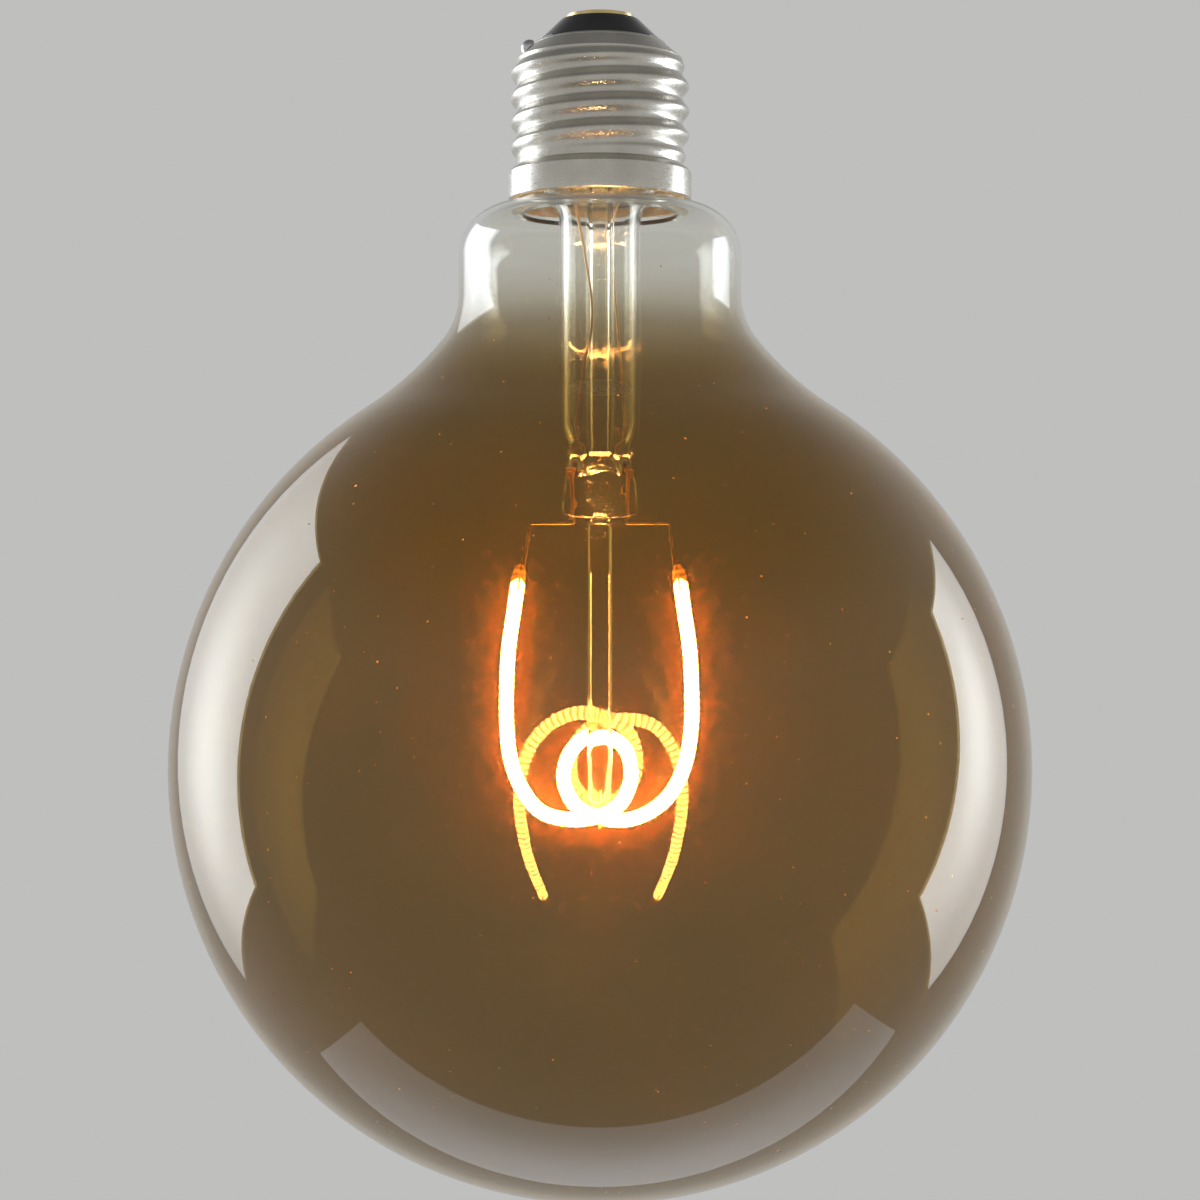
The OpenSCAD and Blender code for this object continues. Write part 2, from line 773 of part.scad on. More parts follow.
// Contact plate at the tip of the cap
module centre_contact() {
    color([0.85, 0.7, 0.35])
    translate([0, 0, -solder_h - contact_t + fit_gap])
    difference() {
        cylinder(h = contact_t - fit_gap, d = contact_d, $fn = 72);
        translate([0, 0, -1]) cylinder(h = contact_t + 2, d = contact_bore, $fn = 36);
    }
}

// Solder button over the contact plate's hole, with the live wire's end in it
module contact_solder() {
    shank_r = contact_bore / 2 - fit_gap;
    bore_r = hookup_d / 2 + fit_gap;
    button_z = -solder_h + fit_gap;
    wire_end_z = -solder_h / 2;
    color([0.75, 0.75, 0.77])
    rotate_extrude($fn = 48)
    polygon([
        [0, 0],
        [solder_flat_d / 2, 0],
        [(solder_flat_d + 2 * solder_d) / 6, -solder_h * 0.35],
        [solder_d / 2, button_z],
        [shank_r, button_z],
        [shank_r, -solder_h - contact_t],
        [bore_r, -solder_h - contact_t],
        [bore_r, wire_end_z],
        [0, wire_end_z]
    ]);
}

// Solder over the neutral wire's end, on the cone of the shell
module side_solder() {
    color([0.75, 0.75, 0.77])
    difference() {
        translate([side_wire_x, 0, cone_outer_z]) sphere(r = side_solder_r, $fn = 48);
        rotate_extrude($fn = 96)
        polygon([
            [0, -lip_depth + fit_gap],
            [lip_r, -lip_depth + fit_gap],
            [minor_r + 2, -lip_depth - cone_h - 2 + fit_gap],
            [0, -lip_depth - cone_h - 2 + fit_gap]
        ]);
        translate([0, 0, -lip_depth - 1]) cylinder(h = 3, r = lip_r, $fn = 96);
        translate([side_wire_x, 0, cone_outer_z - 2])
        cylinder(h = 2 + side_wire_top + fit_gap, d = hookup_d + 2 * fit_gap, $fn = 24);
    }
}

// Ring of cement between the seal tube and the skirt
module cap_cement() {
    top = min(seal_top_z, skirt_top_z - cap_wall - fit_gap);
    color([0.85, 0.78, 0.62])
    translate([0, 0, rim_z])
    difference() {
        cylinder(h = top - rim_z, r = skirt_r - cap_wall - fit_gap, $fn = 96);
        translate([0, 0, -1])
        cylinder(h = top - rim_z + 2, r = seal_tube_d / 2 + fit_gap, $fn = 96);
    }
}

// Printed board that stands in the cap behind the exhaust tube's tip
module driver_board() {
    color([0.1, 0.35, 0.2])
    difference() {
        translate([-board_w / 2, board_y, board_top_z - board_h]) cube([board_w, board_t, board_h]);
        for (pin = board_pins)
        translate([pin[0], board_y - 1, pin[1]])
        rotate([-90, 0, 0])
        cylinder(h = board_t + 2, d = pin[2] + 2 * fit_gap, $fn = 24);
    }
}

// Solder cone round each wire on the board's back
module board_solder() {
    color([0.75, 0.75, 0.77])
    for (pin = board_pins)
    translate([pin[0], board_back_y + fit_gap, pin[1]])
    rotate([-90, 0, 0])
    difference() {
        cylinder(h = pin_stick_out - fit_gap, d1 = pin[2] + solder_foot, d2 = pin[2] + solder_tip, $fn = 32);
        translate([0, 0, -1]) cylinder(h = 2, d = pin[2] + 2 * fit_gap, $fn = 24);
    }
}

// Flat-pack part on the board's back at x, z, w wide, t thick and h high, with legs in two rows
module flat_pack(x, z, w, t, h, legs, leg_w) {
    leg_out = 0.8;
    leg_t = 0.2;
    translate([x, board_back_y + fit_gap, z]) {
        translate([-w / 2, leg_t / 2, -h / 2]) cube([w, t, h]);
        for (s = [-1, 1], i = [0 : legs - 1])
        translate([(i + 0.5) * w / legs - w / 2 - leg_w / 2, 0, s * (h / 2 + leg_out / 2) - leg_out])
        cube([leg_w, leg_t, 2 * leg_out]);
    }
}

module bridge_rectifier() {
    color([0.12, 0.12, 0.12]) flat_pack(-3.2, board_top_z - 3.6, 4.7, 1.5, 3.9, 2, 0.7);
}

module driver_chip() {
    color([0.12, 0.12, 0.12]) flat_pack(4.2, board_top_z - 3.6, 4.9, 1.4, 3.9, 4, 0.42);
}

// Row of chip resistors on the board's back
module chip_resistors() {
    color([0.15, 0.15, 0.15])
    for (x = [-2.4, 0, 2.4])
    translate([x - 0.8, board_back_y + fit_gap, board_top_z - 10.6])
    cube([1.6, 0.55, 3.1]);
}

// Aluminium can of the smoothing capacitor, lying across the board's front
module capacitor_can() {
    color([0.8, 0.8, 0.82])
    translate([capacitor_end_x, capacitor_y, capacitor_z])
    rotate([0, 90, 0])
    difference() {
        cylinder(h = capacitor_l, d = capacitor_d, $fn = 60);
        translate([0, 0, -1]) cylinder(h = 1 + bung_t, d = capacitor_d - 0.6, $fn = 60);
    }
}

// Shrunk plastic sleeve round the can
module capacitor_sleeve() {
    color([0.1, 0.12, 0.2])
    translate([capacitor_end_x, capacitor_y, capacitor_z])
    rotate([0, 90, 0])
    difference() {
        cylinder(h = capacitor_l, d = capacitor_d + 2 * sleeve_t, $fn = 60);
        translate([0, 0, -1]) cylinder(h = capacitor_l + 2, d = capacitor_d + fit_gap, $fn = 60);
    }
}

// Rubber bung that closes the can
module capacitor_bung() {
    color([0.15, 0.15, 0.15])
    translate([capacitor_end_x, capacitor_y, capacitor_z])
    rotate([0, 90, 0])
    difference() {
        cylinder(h = bung_t - fit_gap, d = capacitor_d - 0.6 - 2 * fit_gap, $fn = 60);
        for (s = [-1, 1])
        translate([s * capacitor_pitch / 2, 0, -1])
        cylinder(h = bung_t + 2, d = lead_d + 2 * fit_gap, $fn = 24);
    }
}

// Two leads from the bung to the board
module capacitor_leads() {
    color("silver")
    for (s = [-1, 1])
    wire([
        [capacitor_end_x + bung_t - fit_gap, capacitor_y, capacitor_z + s * capacitor_pitch / 2],
        [capacitor_pin_x, capacitor_y, capacitor_z + s * capacitor_pitch / 2],
        [capacitor_pin_x, pin_end_y, capacitor_z + s * capacitor_pitch / 2]
    ], lead_d, wire_bend);
}

// Fuse resistor between the live wire and the board
module fuse_resistor() {
    color([0.45, 0.6, 0.45])
    translate([resistor_x, resistor_y, resistor_foot_z])
    cylinder(h = resistor_l, d = resistor_d, $fn = 48);
}

// Shrunk sleeve round the fuse resistor
module resistor_sleeve() {
    color([0.9, 0.9, 0.88])
    translate([resistor_x, resistor_y, resistor_foot_z - 0.6])
    difference() {
        cylinder(h = resistor_l + 1.2, d = resistor_d + 2 * shrink_t, $fn = 48);
        translate([0, 0, -1]) cylinder(h = resistor_l + 4, d = resistor_d + fit_gap, $fn = 48);
    }
}

// Lead from the fuse resistor's foot to the board
module resistor_lead() {
    color("silver")
    wire([
        [resistor_x, resistor_y, resistor_foot_z],
        [resistor_x, resistor_y, resistor_pin_z],
        [resistor_x, pin_end_y, resistor_pin_z]
    ], hookup_d, wire_bend);
}

// Wire from the fuse resistor to the centre contact
module live_wire() {
    run_z = -insulator_foot + 0.9;
    color([0.7, 0.1, 0.1])
    wire([
        [resistor_x, resistor_y, resistor_top_z],
        [resistor_x, resistor_y, resistor_top_z + 2.2],
        [4.6, 0.2, run_z],
        [0, 0, run_z + 1.8],
        [0, 0, -solder_h / 2 - fit_gap]
    ], hookup_d, wire_bend);
}

// Wire from the board to the shell, up through the insulator's rim
module neutral_wire() {
    color([0.1, 0.2, 0.6])
    wire([
        [neutral_pin_x, pin_end_y, neutral_pin_z],
        [neutral_pin_x, 0.9, neutral_pin_z],
        [side_wire_x, 0, neutral_pin_z + 3],
        [side_wire_x, 0, cone_outer_z + side_wire_top]
    ], hookup_d, wire_bend);
}

globe_glass();
flare_tube();
stem_press();
exhaust_tube();
centre_rod();
support_hook();
seal_wire_left();
seal_wire_right();
outer_lead_left();
outer_lead_right();
inner_lead_left();
inner_lead_right();
filament_strip();
filament_chips();
filament_coat_outer();
filament_coat_inner();
filament_tab_left();
filament_tab_right();
cap_shell();
cap_insulator();
centre_contact();
contact_solder();
side_solder();
cap_cement();
driver_board();
bridge_rectifier();
driver_chip();
chip_resistors();
board_solder();
capacitor_can();
capacitor_sleeve();
capacitor_bung();
capacitor_leads();
fuse_resistor();
resistor_sleeve();
resistor_lead();
live_wire();
neutral_wire();
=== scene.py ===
from math import atan2, ceil, cos, degrees, exp, pi, radians, sin, sqrt

import bpy
from mathutils import Euler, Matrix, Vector


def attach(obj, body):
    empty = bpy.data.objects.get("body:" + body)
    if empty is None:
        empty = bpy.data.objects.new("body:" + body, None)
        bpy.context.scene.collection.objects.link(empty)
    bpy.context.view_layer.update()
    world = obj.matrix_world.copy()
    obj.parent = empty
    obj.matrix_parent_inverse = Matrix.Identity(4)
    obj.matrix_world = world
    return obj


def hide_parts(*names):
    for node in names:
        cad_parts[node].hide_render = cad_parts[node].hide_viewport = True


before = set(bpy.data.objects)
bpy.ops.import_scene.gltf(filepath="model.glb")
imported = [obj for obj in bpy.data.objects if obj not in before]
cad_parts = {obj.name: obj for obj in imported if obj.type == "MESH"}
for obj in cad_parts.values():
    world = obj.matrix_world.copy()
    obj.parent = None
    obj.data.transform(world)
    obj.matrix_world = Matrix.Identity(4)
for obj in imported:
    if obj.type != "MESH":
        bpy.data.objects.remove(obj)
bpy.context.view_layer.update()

# Sizes are in millimetres and named angles in degrees, and MM turns millimetres into metres
MM = 0.001

# Camera, which stands level in front of the bulb
CAMERA_Y = -378
CAMERA_Z = -86
CAMERA_LENS = 77.4
CAMERA_NEAR = 10
SENSOR = 36

# Globe: a ball, a hollow sweep and a bend up to the neck, whose end turns in to the seal tube
BALL_R = 62.5
BALL_Z = -110.41
GLASS_WALL = 0.9
SWEEP_R = 46
SWEEP_START = 57
BEND_R = 11
NECK_R = 20.7
NECK_END_R = 7.6
NECK_END_ANGLE = 88
NECK_END_Z = -28.3
SEAL_TUBE_R = 12.3
SEAL_TUBE_STEP = 1.2
SEAL_TOP_Z = -24.3
GLOBE_SIDES = 192

# Flare tube
STEM_R = 5.9
STEM_WALL = 1.0
FLARE_RIM_R = 11.35
FLARE_R = FLARE_RIM_R - STEM_R
FLARE_Z = SEAL_TOP_Z - STEM_WALL - FLARE_R
STEM_SIDES = 96
STEM_ROWS = 12

# Press: the tube turns narrow from SQUEEZE_Z to PRESS_Z, and flat from FLATTEN_Z to FLAT_Z
SQUEEZE_Z = -60.25
PRESS_Z = -64.45
FLATTEN_Z = -62.6
FLAT_Z = -67
PRESS_FOOT_Z = -74.25
PRESS_TOP_W = 9.6
PRESS_FOOT_W = 11.1
PRESS_T = 5.4
PRESS_ROWS = 40
FOOT_STRAIGHT = 1.5
FOOT_ROUND = 1.6
FOOT_ROWS = 8

# Arch of the flat shoulder: level up to SHOULDER_START_X, and lower by SHOULDER_DROP from SHOULDER_END_X
SHOULDER_START_X = 1.4
SHOULDER_END_X = 4.2
SHOULDER_DROP = 1.3

# How full the stem's sections are: 2 is an ellipse, and more comes closer to a box
ROUND = 2
PRESS_FULLNESS = 4
FOOT_FULLNESS = 3
CAVITY_FULLNESS = 2.6

# Foot of the space inside the flare tube, and the hole blown through the press's front into it
CAVITY_FOOT_Z = PRESS_Z - 3.2
CAVITY_ROWS = 8
HOLE_Z = CAVITY_FOOT_Z + 0.55
HOLE_HALF_W = 1.85
HOLE_HALF_H = 0.62
HOLE_SIDES = 40

# Pump tube
EXHAUST_R = 2.05
EXHAUST_BORE_R = 1.25
TIP_OFF_Z = -19.5
PUMP_SIDES = 64

# Centre rod
ROD_R = 1.8
ROD_TIP_R = 0.9
ROD_END_Z = -115.7
ROD_SIDES = 64

# Wires
LEAD_D = 0.4
SEAL_WIRE_X = 3.8
LEAD_ROOT = 0.3
LEAD_DROP = 0.55
LEAD_CORNER_X = 10.2
WELD_GAP = 0.05
WELD_BEAD_R = 0.42
WELD_BEAD_PLACE = 0.45
PIN_X = 4.9
PIN_START_Y = 0.4
PIN_END_Y = 4.1
PIN_Z = -19.5
WIRE_SIDES = 12

# Filament
FILAMENT_W = 27
CURL_DEPTH = 8
FILAMENT_H = 36
FILAMENT_LOW_Z = -117.75
ROUTE_STEPS = 10
STRIP_W = 2.2
STRIP_T = 0.2
STRIP_EDGE = 0.05
COAT_OUTER_T = 1.0
COAT_INNER_T = 0.65
COAT_LIFT = 0.1
COAT_STEPS = 14
TIP_ROUND = 2.4
TIP_SWELL = 0.3
TIP_REACH = 0.9
TAB_L = 2
TAB_T = 0.25

# Cap
CAP_WALL = 0.4
RIM_Z = -27.5
SKIRT_R = 13.4
SKIRT_TOP_Z = -23.4
SKIRT_ROUND = 0.3
THREAD_FOOT_Z = -22.5
THREAD_TOP_Z = -7.0
THREAD_MAJOR_R = 13.1
THREAD_MINOR_R = 12.1
THREAD_PITCH = 3.629
THREAD_FADE = THREAD_PITCH * 0.6
THREAD_ROWS = 120
LIP_R = 9.72
LIP_Z = -4.6
LIP_ROUND = 0.35
SHELL_SIDES = 144

# Edges that turn more than this are shaded sharp
SHARP_ANGLE = 38

# The filament's route, as the part's source gives it: across in hundredths of its width,
# back in hundredths of its depth, up in hundredths of its height
FILAMENT_ROUTE = [
    (-43, 0, 100), (-46, 0, 84), (-49, 0, 68), (-50, 0, 53), (-50, 0, 38), (-48, -2, 24),
    (-42, -6, 12), (-32, -14, 3), (-18, -26, 0), (-3, -38, 1), (10, -40, 6), (16, -22, 16),
    (14, 18, 26), (6, 52, 31), (-6, 56, 32), (-16, 28, 25), (-19, 2, 15), (-13, 9, 5),
    (0, 11, 0), (14, 8, -1), (28, 3, 3), (39, 0, 11), (46, 0, 23), (49, 0, 38),
    (49, 0, 53), (48, 0, 68), (45, 0, 84), (42, 0, 100),
]


# Curves

def arc(centre, r, start, end, step=3):
    """Points of an arc, with its angles in degrees."""
    count = max(2, ceil(abs(end - start) / step))
    angles = [radians(start + (end - start) * i / count) for i in range(count + 1)]
    return [(centre[0] + r * cos(a), centre[1] + r * sin(a)) for a in angles]


def ease(u):
    """Smooth step from 0 to 1."""
    u = min(1, max(0, u))
    return u * u * (3 - 2 * u)


def curve_point(before, start, end, after, u):
    """Point at u on the smooth curve from start to end, with the neighbours before and after."""
    return (
        2 * start + (end - before) * u
        + (2 * before - 5 * start + 4 * end - after) * u * u
        + (3 * start - before - 3 * end + after) * u * u * u
    ) / 2


def smooth_path(points, steps):
    """Smooth curve through the points."""
    p = [2 * points[0] - points[1]] + points + [2 * points[-1] - points[-2]]
    path = []
    for i in range(1, len(p) - 2):
        path += [curve_point(p[i - 1], p[i], p[i + 1], p[i + 2], k / steps) for k in range(steps)]
    return path + [points[-1]]


def bent_path(points, bend, steps=8):
    """Straight runs through the points, with each corner rounded off over the length bend."""
    path = [points[0]]
    for before, corner, after in zip(points, points[1:], points[2:]):
        start = corner + bend * (before - corner).normalized()
        end = corner + bend * (after - corner).normalized()
        for k in range(steps + 1):
            u = k / steps
            path.append((1 - u) ** 2 * start + 2 * u * (1 - u) * corner + u * u * end)
    return path + [points[-1]]


def headings(path):
    """Direction of the path at each of its points."""
    last = len(path) - 1
    return [(path[min(i + 1, last)] - path[max(i - 1, 0)]).normalized() for i in range(last + 1)]


def level_ring(half_w, half_t, z, sides):
    """Points of a level ellipse round the centre line."""
    angles = [2 * pi * j / sides for j in range(sides)]
    return [(half_w * cos(a), half_t * sin(a), z) for a in angles]


# Meshes

def new_mesh(name, verts, faces):
    """Mesh from points in millimetres."""
    mesh = bpy.data.meshes.new(name)
    mesh.from_pydata([Vector(v) * MM for v in verts], [], faces)
    return mesh


def new_object(name, data):
    """Object in the scene that holds a mesh, a lamp or a camera."""
    added = bpy.data.objects.new(name, data)
    bpy.context.scene.collection.objects.link(added)
    return added


def smooth(mesh):
    """Shades a mesh smooth, apart from its sharp edges."""
    mesh.shade_smooth()
    mesh.set_sharp_from_angle(angle=radians(SHARP_ANGLE))


def new_piece(name, verts, faces, slot, *nodes):
    """Smooth mesh piece on the root body, with its slot's look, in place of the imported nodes."""
    mesh = new_mesh(name, verts, faces)
    mesh.validate()
    smooth(mesh)
    mesh.materials.append(LOOKS[slot])
    piece = new_object(name, mesh)
    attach(piece, "root")
    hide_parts(*nodes)
    return piece


def revolved(outline, sides):
    """Points and faces of a closed outline turned round the centre line.

    A point of the outline that lies on the line becomes one point of the mesh.
    """
    verts, rings = [], []
    for r, z in outline:
        if r < 1e-6:
            rings.append([len(verts)] * sides)
            verts.append((0, 0, z))
        else:
            rings.append(list(range(len(verts), len(verts) + sides)))
            verts += level_ring(r, r, z, sides)
    faces = []
    for i, low in enumerate(rings):
        high = rings[(i + 1) % len(rings)]
        for j in range(sides):
            k = (j + 1) % sides
            face = list(dict.fromkeys([low[j], low[k], high[k], high[j]]))
            if len(face) > 2:
                faces.append(face)
    return verts, faces


def lofted(rings, closed=False, caps=(True, True)):
    """Points and faces through equal rings of points.

    A closed loft joins its last ring to its first. An open one gets flat caps on those two as caps says.
    """
    sides = len(rings[0])
    count = len(rings)
    verts = [p for ring in rings for p in ring]
    faces = []
    for i in range(count if closed else count - 1):
        low, high = i * sides, (i + 1) % count * sides
        for j in range(sides):
            k = (j + 1) % sides
            faces.append((low + j, low + k, high + k, high + j))
    if not closed and caps[0]:
        faces.append(tuple(reversed(range(sides))))
    if not closed and caps[1]:
        faces.append(tuple(range((count - 1) * sides, count * sides)))
    return verts, faces


def wire_mesh(path, r):
    """Points and faces of a round wire along the path, with rounded ends."""
    ahead = headings(path)
    side = ahead[0].orthogonal().normalized()
    angles = [2 * pi * j / WIRE_SIDES for j in range(WIRE_SIDES)]
    rings = []
    for i, p in enumerate(path):
        side = (side - side.dot(ahead[i]) * ahead[i]).normalized()
        other = ahead[i].cross(side)
        circle = [side * cos(a) + other * sin(a) for a in angles]
        if i == 0:
            rings.append([p - ahead[i] * r * 0.5 + c * r * 0.5 for c in circle])
        rings.append([p + c * r for c in circle])
        if i == len(path) - 1:
            rings.append([p + ahead[i] * r * 0.5 + c * r * 0.5 for c in circle])
    return lofted(rings)


def joined(*meshes):
    """Points and faces of several meshes as one."""
    verts, faces = [], []
    for more_verts, more_faces in meshes:
        base = len(verts)
        verts += list(more_verts)
        faces += [tuple(i + base for i in face) for face in more_faces]
    return verts, faces


def ball_mesh(centre, r, stretch, sides=16):
    """Points and faces of a ball, stretched along the axes."""
    outline = [(r * cos(radians(a)), r * sin(radians(a))) for a in range(-90, 91, 15)]
    verts, faces = revolved(outline, sides)
    moved = [tuple(c + x * k for c, x, k in zip(centre, v, stretch)) for v in verts]
    return moved, faces


# Shader helpers

def material_nodes(name):
    """New node material, its nodes, links and output."""
    mat = bpy.data.materials.new(name)
    mat.use_nodes = True
    nodes, links = mat.node_tree.nodes, mat.node_tree.links
    nodes.clear()
    return mat, nodes, links, nodes.new("ShaderNodeOutputMaterial")


def principled(nodes, colour=None, **values):
    """Principled node with plain values, such as Roughness=0.3."""
    node = nodes.new("ShaderNodeBsdfPrincipled")
    if colour:
        node.inputs["Base Color"].default_value = (*colour, 1)
    for name, value in values.items():
        node.inputs[name.replace("_", " ")].default_value = value
    return node


def translucent(nodes, colour):
    """Shader that scatters light to its far side, as a film or dust on glass does."""
    node = nodes.new("ShaderNodeBsdfTranslucent")
    node.inputs["Color"].default_value = (*colour, 1)
    return node.outputs["BSDF"]


def noise(nodes, links, scale, detail, stretch=(1, 1, 1)):
    """Noise texture in the piece's own space, stretched along the axes."""
    where = nodes.new("ShaderNodeTexCoord")
    mapping = nodes.new("ShaderNodeMapping")
    mapping.inputs["Scale"].default_value = stretch
    texture = nodes.new("ShaderNodeTexNoise")
    texture.inputs["Scale"].default_value = scale
    texture.inputs["Detail"].default_value = detail
    links.new(where.outputs["Object"], mapping.inputs["Vector"])
    links.new(mapping.outputs["Vector"], texture.inputs["Vector"])
    return texture.outputs["Fac"]


def ramp(nodes, links, value, stops):
    """Colour ramp over value, with stops of place and colour."""
    node = nodes.new("ShaderNodeValToRGB")
    points = node.color_ramp.elements
    while len(points) < len(stops):
        points.new(0.5)
    for point, (place, colour) in zip(points, stops):
        point.position = place
        point.color = (*colour, 1)
    links.new(value, node.inputs["Fac"])
    return node.outputs["Color"]


def ranged(nodes, links, value, low, high, to_low=0, to_high=1):
    """Value mapped smoothly from one range to another and held at its ends."""
    node = nodes.new("ShaderNodeMapRange")
    node.interpolation_type = "SMOOTHSTEP"
    node.inputs["From Min"].default_value = low
    node.inputs["From Max"].default_value = high
    node.inputs["To Min"].default_value = to_low
    node.inputs["To Max"].default_value = to_high
    links.new(value, node.inputs["Value"])
    return node.outputs["Result"]


def bump(nodes, links, height, distance, strength):
    """Bump from a height value, distance in metres."""
    node = nodes.new("ShaderNodeBump")
    node.inputs["Strength"].default_value = strength
    node.inputs["Distance"].default_value = distance
    links.new(height, node.inputs["Height"])
    return node.outputs["Normal"]


def feed(links, value, place):
    """Puts a number or a socket's value into an input."""
    if hasattr(value, "links"):
        links.new(value, place)
    else:
        place.default_value = value


def share(nodes, links, first, second, amount):
    """Mix of two shaders, with amount of the second: a number or a socket."""
    mix = nodes.new("ShaderNodeMixShader")
    feed(links, amount, mix.inputs["Fac"])
    links.new(first, mix.inputs[1])
    links.new(second, mix.inputs[2])
    return mix.outputs["Shader"]


def combined(nodes, links, operation, first, second):
    """Result of a math node on two values: numbers or sockets."""
    node = nodes.new("ShaderNodeMath")
    node.operation = operation
    feed(links, first, node.inputs[0])
    feed(links, second, node.inputs[1])
    return node.outputs["Value"]


def specks(nodes, links, scale, size, kept):
    """Sparse round dots: 1 inside a dot and 0 elsewhere. Kept is the share of cells that hold one."""
    where = nodes.new("ShaderNodeTexCoord")
    cells = nodes.new("ShaderNodeTexVoronoi")
    cells.inputs["Scale"].default_value = scale
    links.new(where.outputs["Object"], cells.inputs["Vector"])
    split = nodes.new("ShaderNodeSeparateColor")
    links.new(cells.outputs["Color"], split.inputs["Color"])
    reach = combined(nodes, links, "MULTIPLY", split.outputs["Green"], size)
    inside = combined(nodes, links, "LESS_THAN", cells.outputs["Distance"], reach)
    chosen = combined(nodes, links, "LESS_THAN", split.outputs["Red"], kept)
    return combined(nodes, links, "MULTIPLY", inside, chosen)


def lets_lamps_through(nodes, links, shader, colour, out):
    """Glass that casts a clear shadow: lamps pass it as if through a thin pane of the colour."""
    path = nodes.new("ShaderNodeLightPath")
    clear = nodes.new("ShaderNodeBsdfTransparent")
    feed(links, colour, clear.inputs["Color"])
    mixed = share(nodes, links, shader, clear.outputs["BSDF"], path.outputs["Is Shadow Ray"])
    links.new(mixed, out.inputs["Surface"])


# Glass of the globe: amber below, almost clear in the neck
TINT = (0.42, 0.32, 0.13)
NECK_TINT = (0.95, 0.95, 0.91)
TINT_START_Z = -58
TINT_END_Z = -33
GLOBE_IOR = 1.5

# Haze, film and dust on the globe. Each layer of haze has a spread, a roughness and a share
HAZE_TINT = (0.7, 0.23, 0.035)
HAZE_LAYERS = (("BECKMANN", 0.36, 0.016), ("GGX", 0.3, 0.0045))
FILM_COLOUR = (0.9, 0.45, 0.14)
FILM_SHARES = (0.0012, 0.007)
DUST_COLOUR = (0.95, 0.5, 0.16)
DUST_SHARE = 0.7

# Glass of the stem
STEM_COLOUR = (0.985, 0.98, 0.945)
STEM_SHADOW = (0.97, 0.98, 0.95, 1)
STEM_IOR = 1.56

# Light of the filament, which shows as a row of beads and starts at a slant near each tip
HOT = (1, 0.6, 0.29)
HOT_STRENGTH = 200
DIM_AMBER = (1, 0.3, 0.02)
DIM_SHARE = 0.014
DARK_TIP = 2.7
LIT_RUN = 0.5
TIP_SLANT = 1.6
BEAD_PITCH = 1.0
BEAD_LOW = 0.25

# Where the clouds of tarnish and mottle start and end in their noise
TARNISH = (0.35, 0.7)
MOTTLE = (0.35, 0.65)


# Materials

def hazed(nodes, links, shader, coated):
    """Glass with a thin haze that spreads a glow round what shines inside."""
    for spread, roughness, amount in HAZE_LAYERS:
        haze = nodes.new("ShaderNodeBsdfRefraction")
        haze.distribution = spread
        haze.inputs["Color"].default_value = (*HAZE_TINT, 1)
        haze.inputs["Roughness"].default_value = roughness
        haze.inputs["IOR"].default_value = GLOBE_IOR
        part = combined(nodes, links, "MULTIPLY", coated, amount)
        shader = share(nodes, links, shader, haze.outputs["BSDF"], part)
    return shader


def filmed(nodes, links, shader, coated):
    """Glass with a cloudy film that catches a little light."""
    cloud = noise(nodes, links, scale=45, detail=4)
    patch = ranged(nodes, links, cloud, 0.35, 0.75, *FILM_SHARES)
    patch = combined(nodes, links, "MULTIPLY", patch, coated)
    return share(nodes, links, shader, translucent(nodes, FILM_COLOUR), patch)


def dusty(nodes, links, shader):
    """Glass with fine specks of dust."""
    dots = specks(nodes, links, scale=460, size=0.09, kept=0.4)
    dots = combined(nodes, links, "MULTIPLY", dots, DUST_SHARE)
    return share(nodes, links, shader, translucent(nodes, DUST_COLOUR), dots)


def amber_glass():
    """Thin blown glass with an amber tint that fades out in the neck, a film of haze and fine dust."""
    mat, nodes, links, out = material_nodes("amber_glass_look")
    where = nodes.new("ShaderNodeTexCoord")
    split = nodes.new("ShaderNodeSeparateXYZ")
    links.new(where.outputs["Object"], split.inputs["Vector"])
    level = ranged(nodes, links, split.outputs["Z"], TINT_START_Z * MM, TINT_END_Z * MM)
    tint = ramp(nodes, links, level, [(0, TINT), (1, NECK_TINT)])
    glass = principled(nodes, Transmission_Weight=1, Roughness=0, IOR=GLOBE_IOR)
    links.new(tint, glass.inputs["Base Color"])
    coated = ranged(nodes, links, level, 0, 0.7, to_low=1, to_high=0.05)
    shader = hazed(nodes, links, glass.outputs["BSDF"], coated)
    shader = filmed(nodes, links, shader, coated)
    shader = dusty(nodes, links, shader)
    lets_lamps_through(nodes, links, shader, tint, out)
    return mat


def clear_glass():
    """Clear lead glass of the stem, with a faint yellow-green depth and drawn ripples."""
    mat, nodes, links, out = material_nodes("clear_glass_look")
    glass = principled(nodes, STEM_COLOUR, Transmission_Weight=1, Roughness=0, IOR=STEM_IOR)
    ripple = noise(nodes, links, scale=500, detail=2, stretch=(1, 1, 0.12))
    links.new(bump(nodes, links, ripple, distance=0.02 * MM, strength=0.4), glass.inputs["Normal"])
    lets_lamps_through(nodes, links, glass.outputs["BSDF"], STEM_SHADOW, out)
    return mat


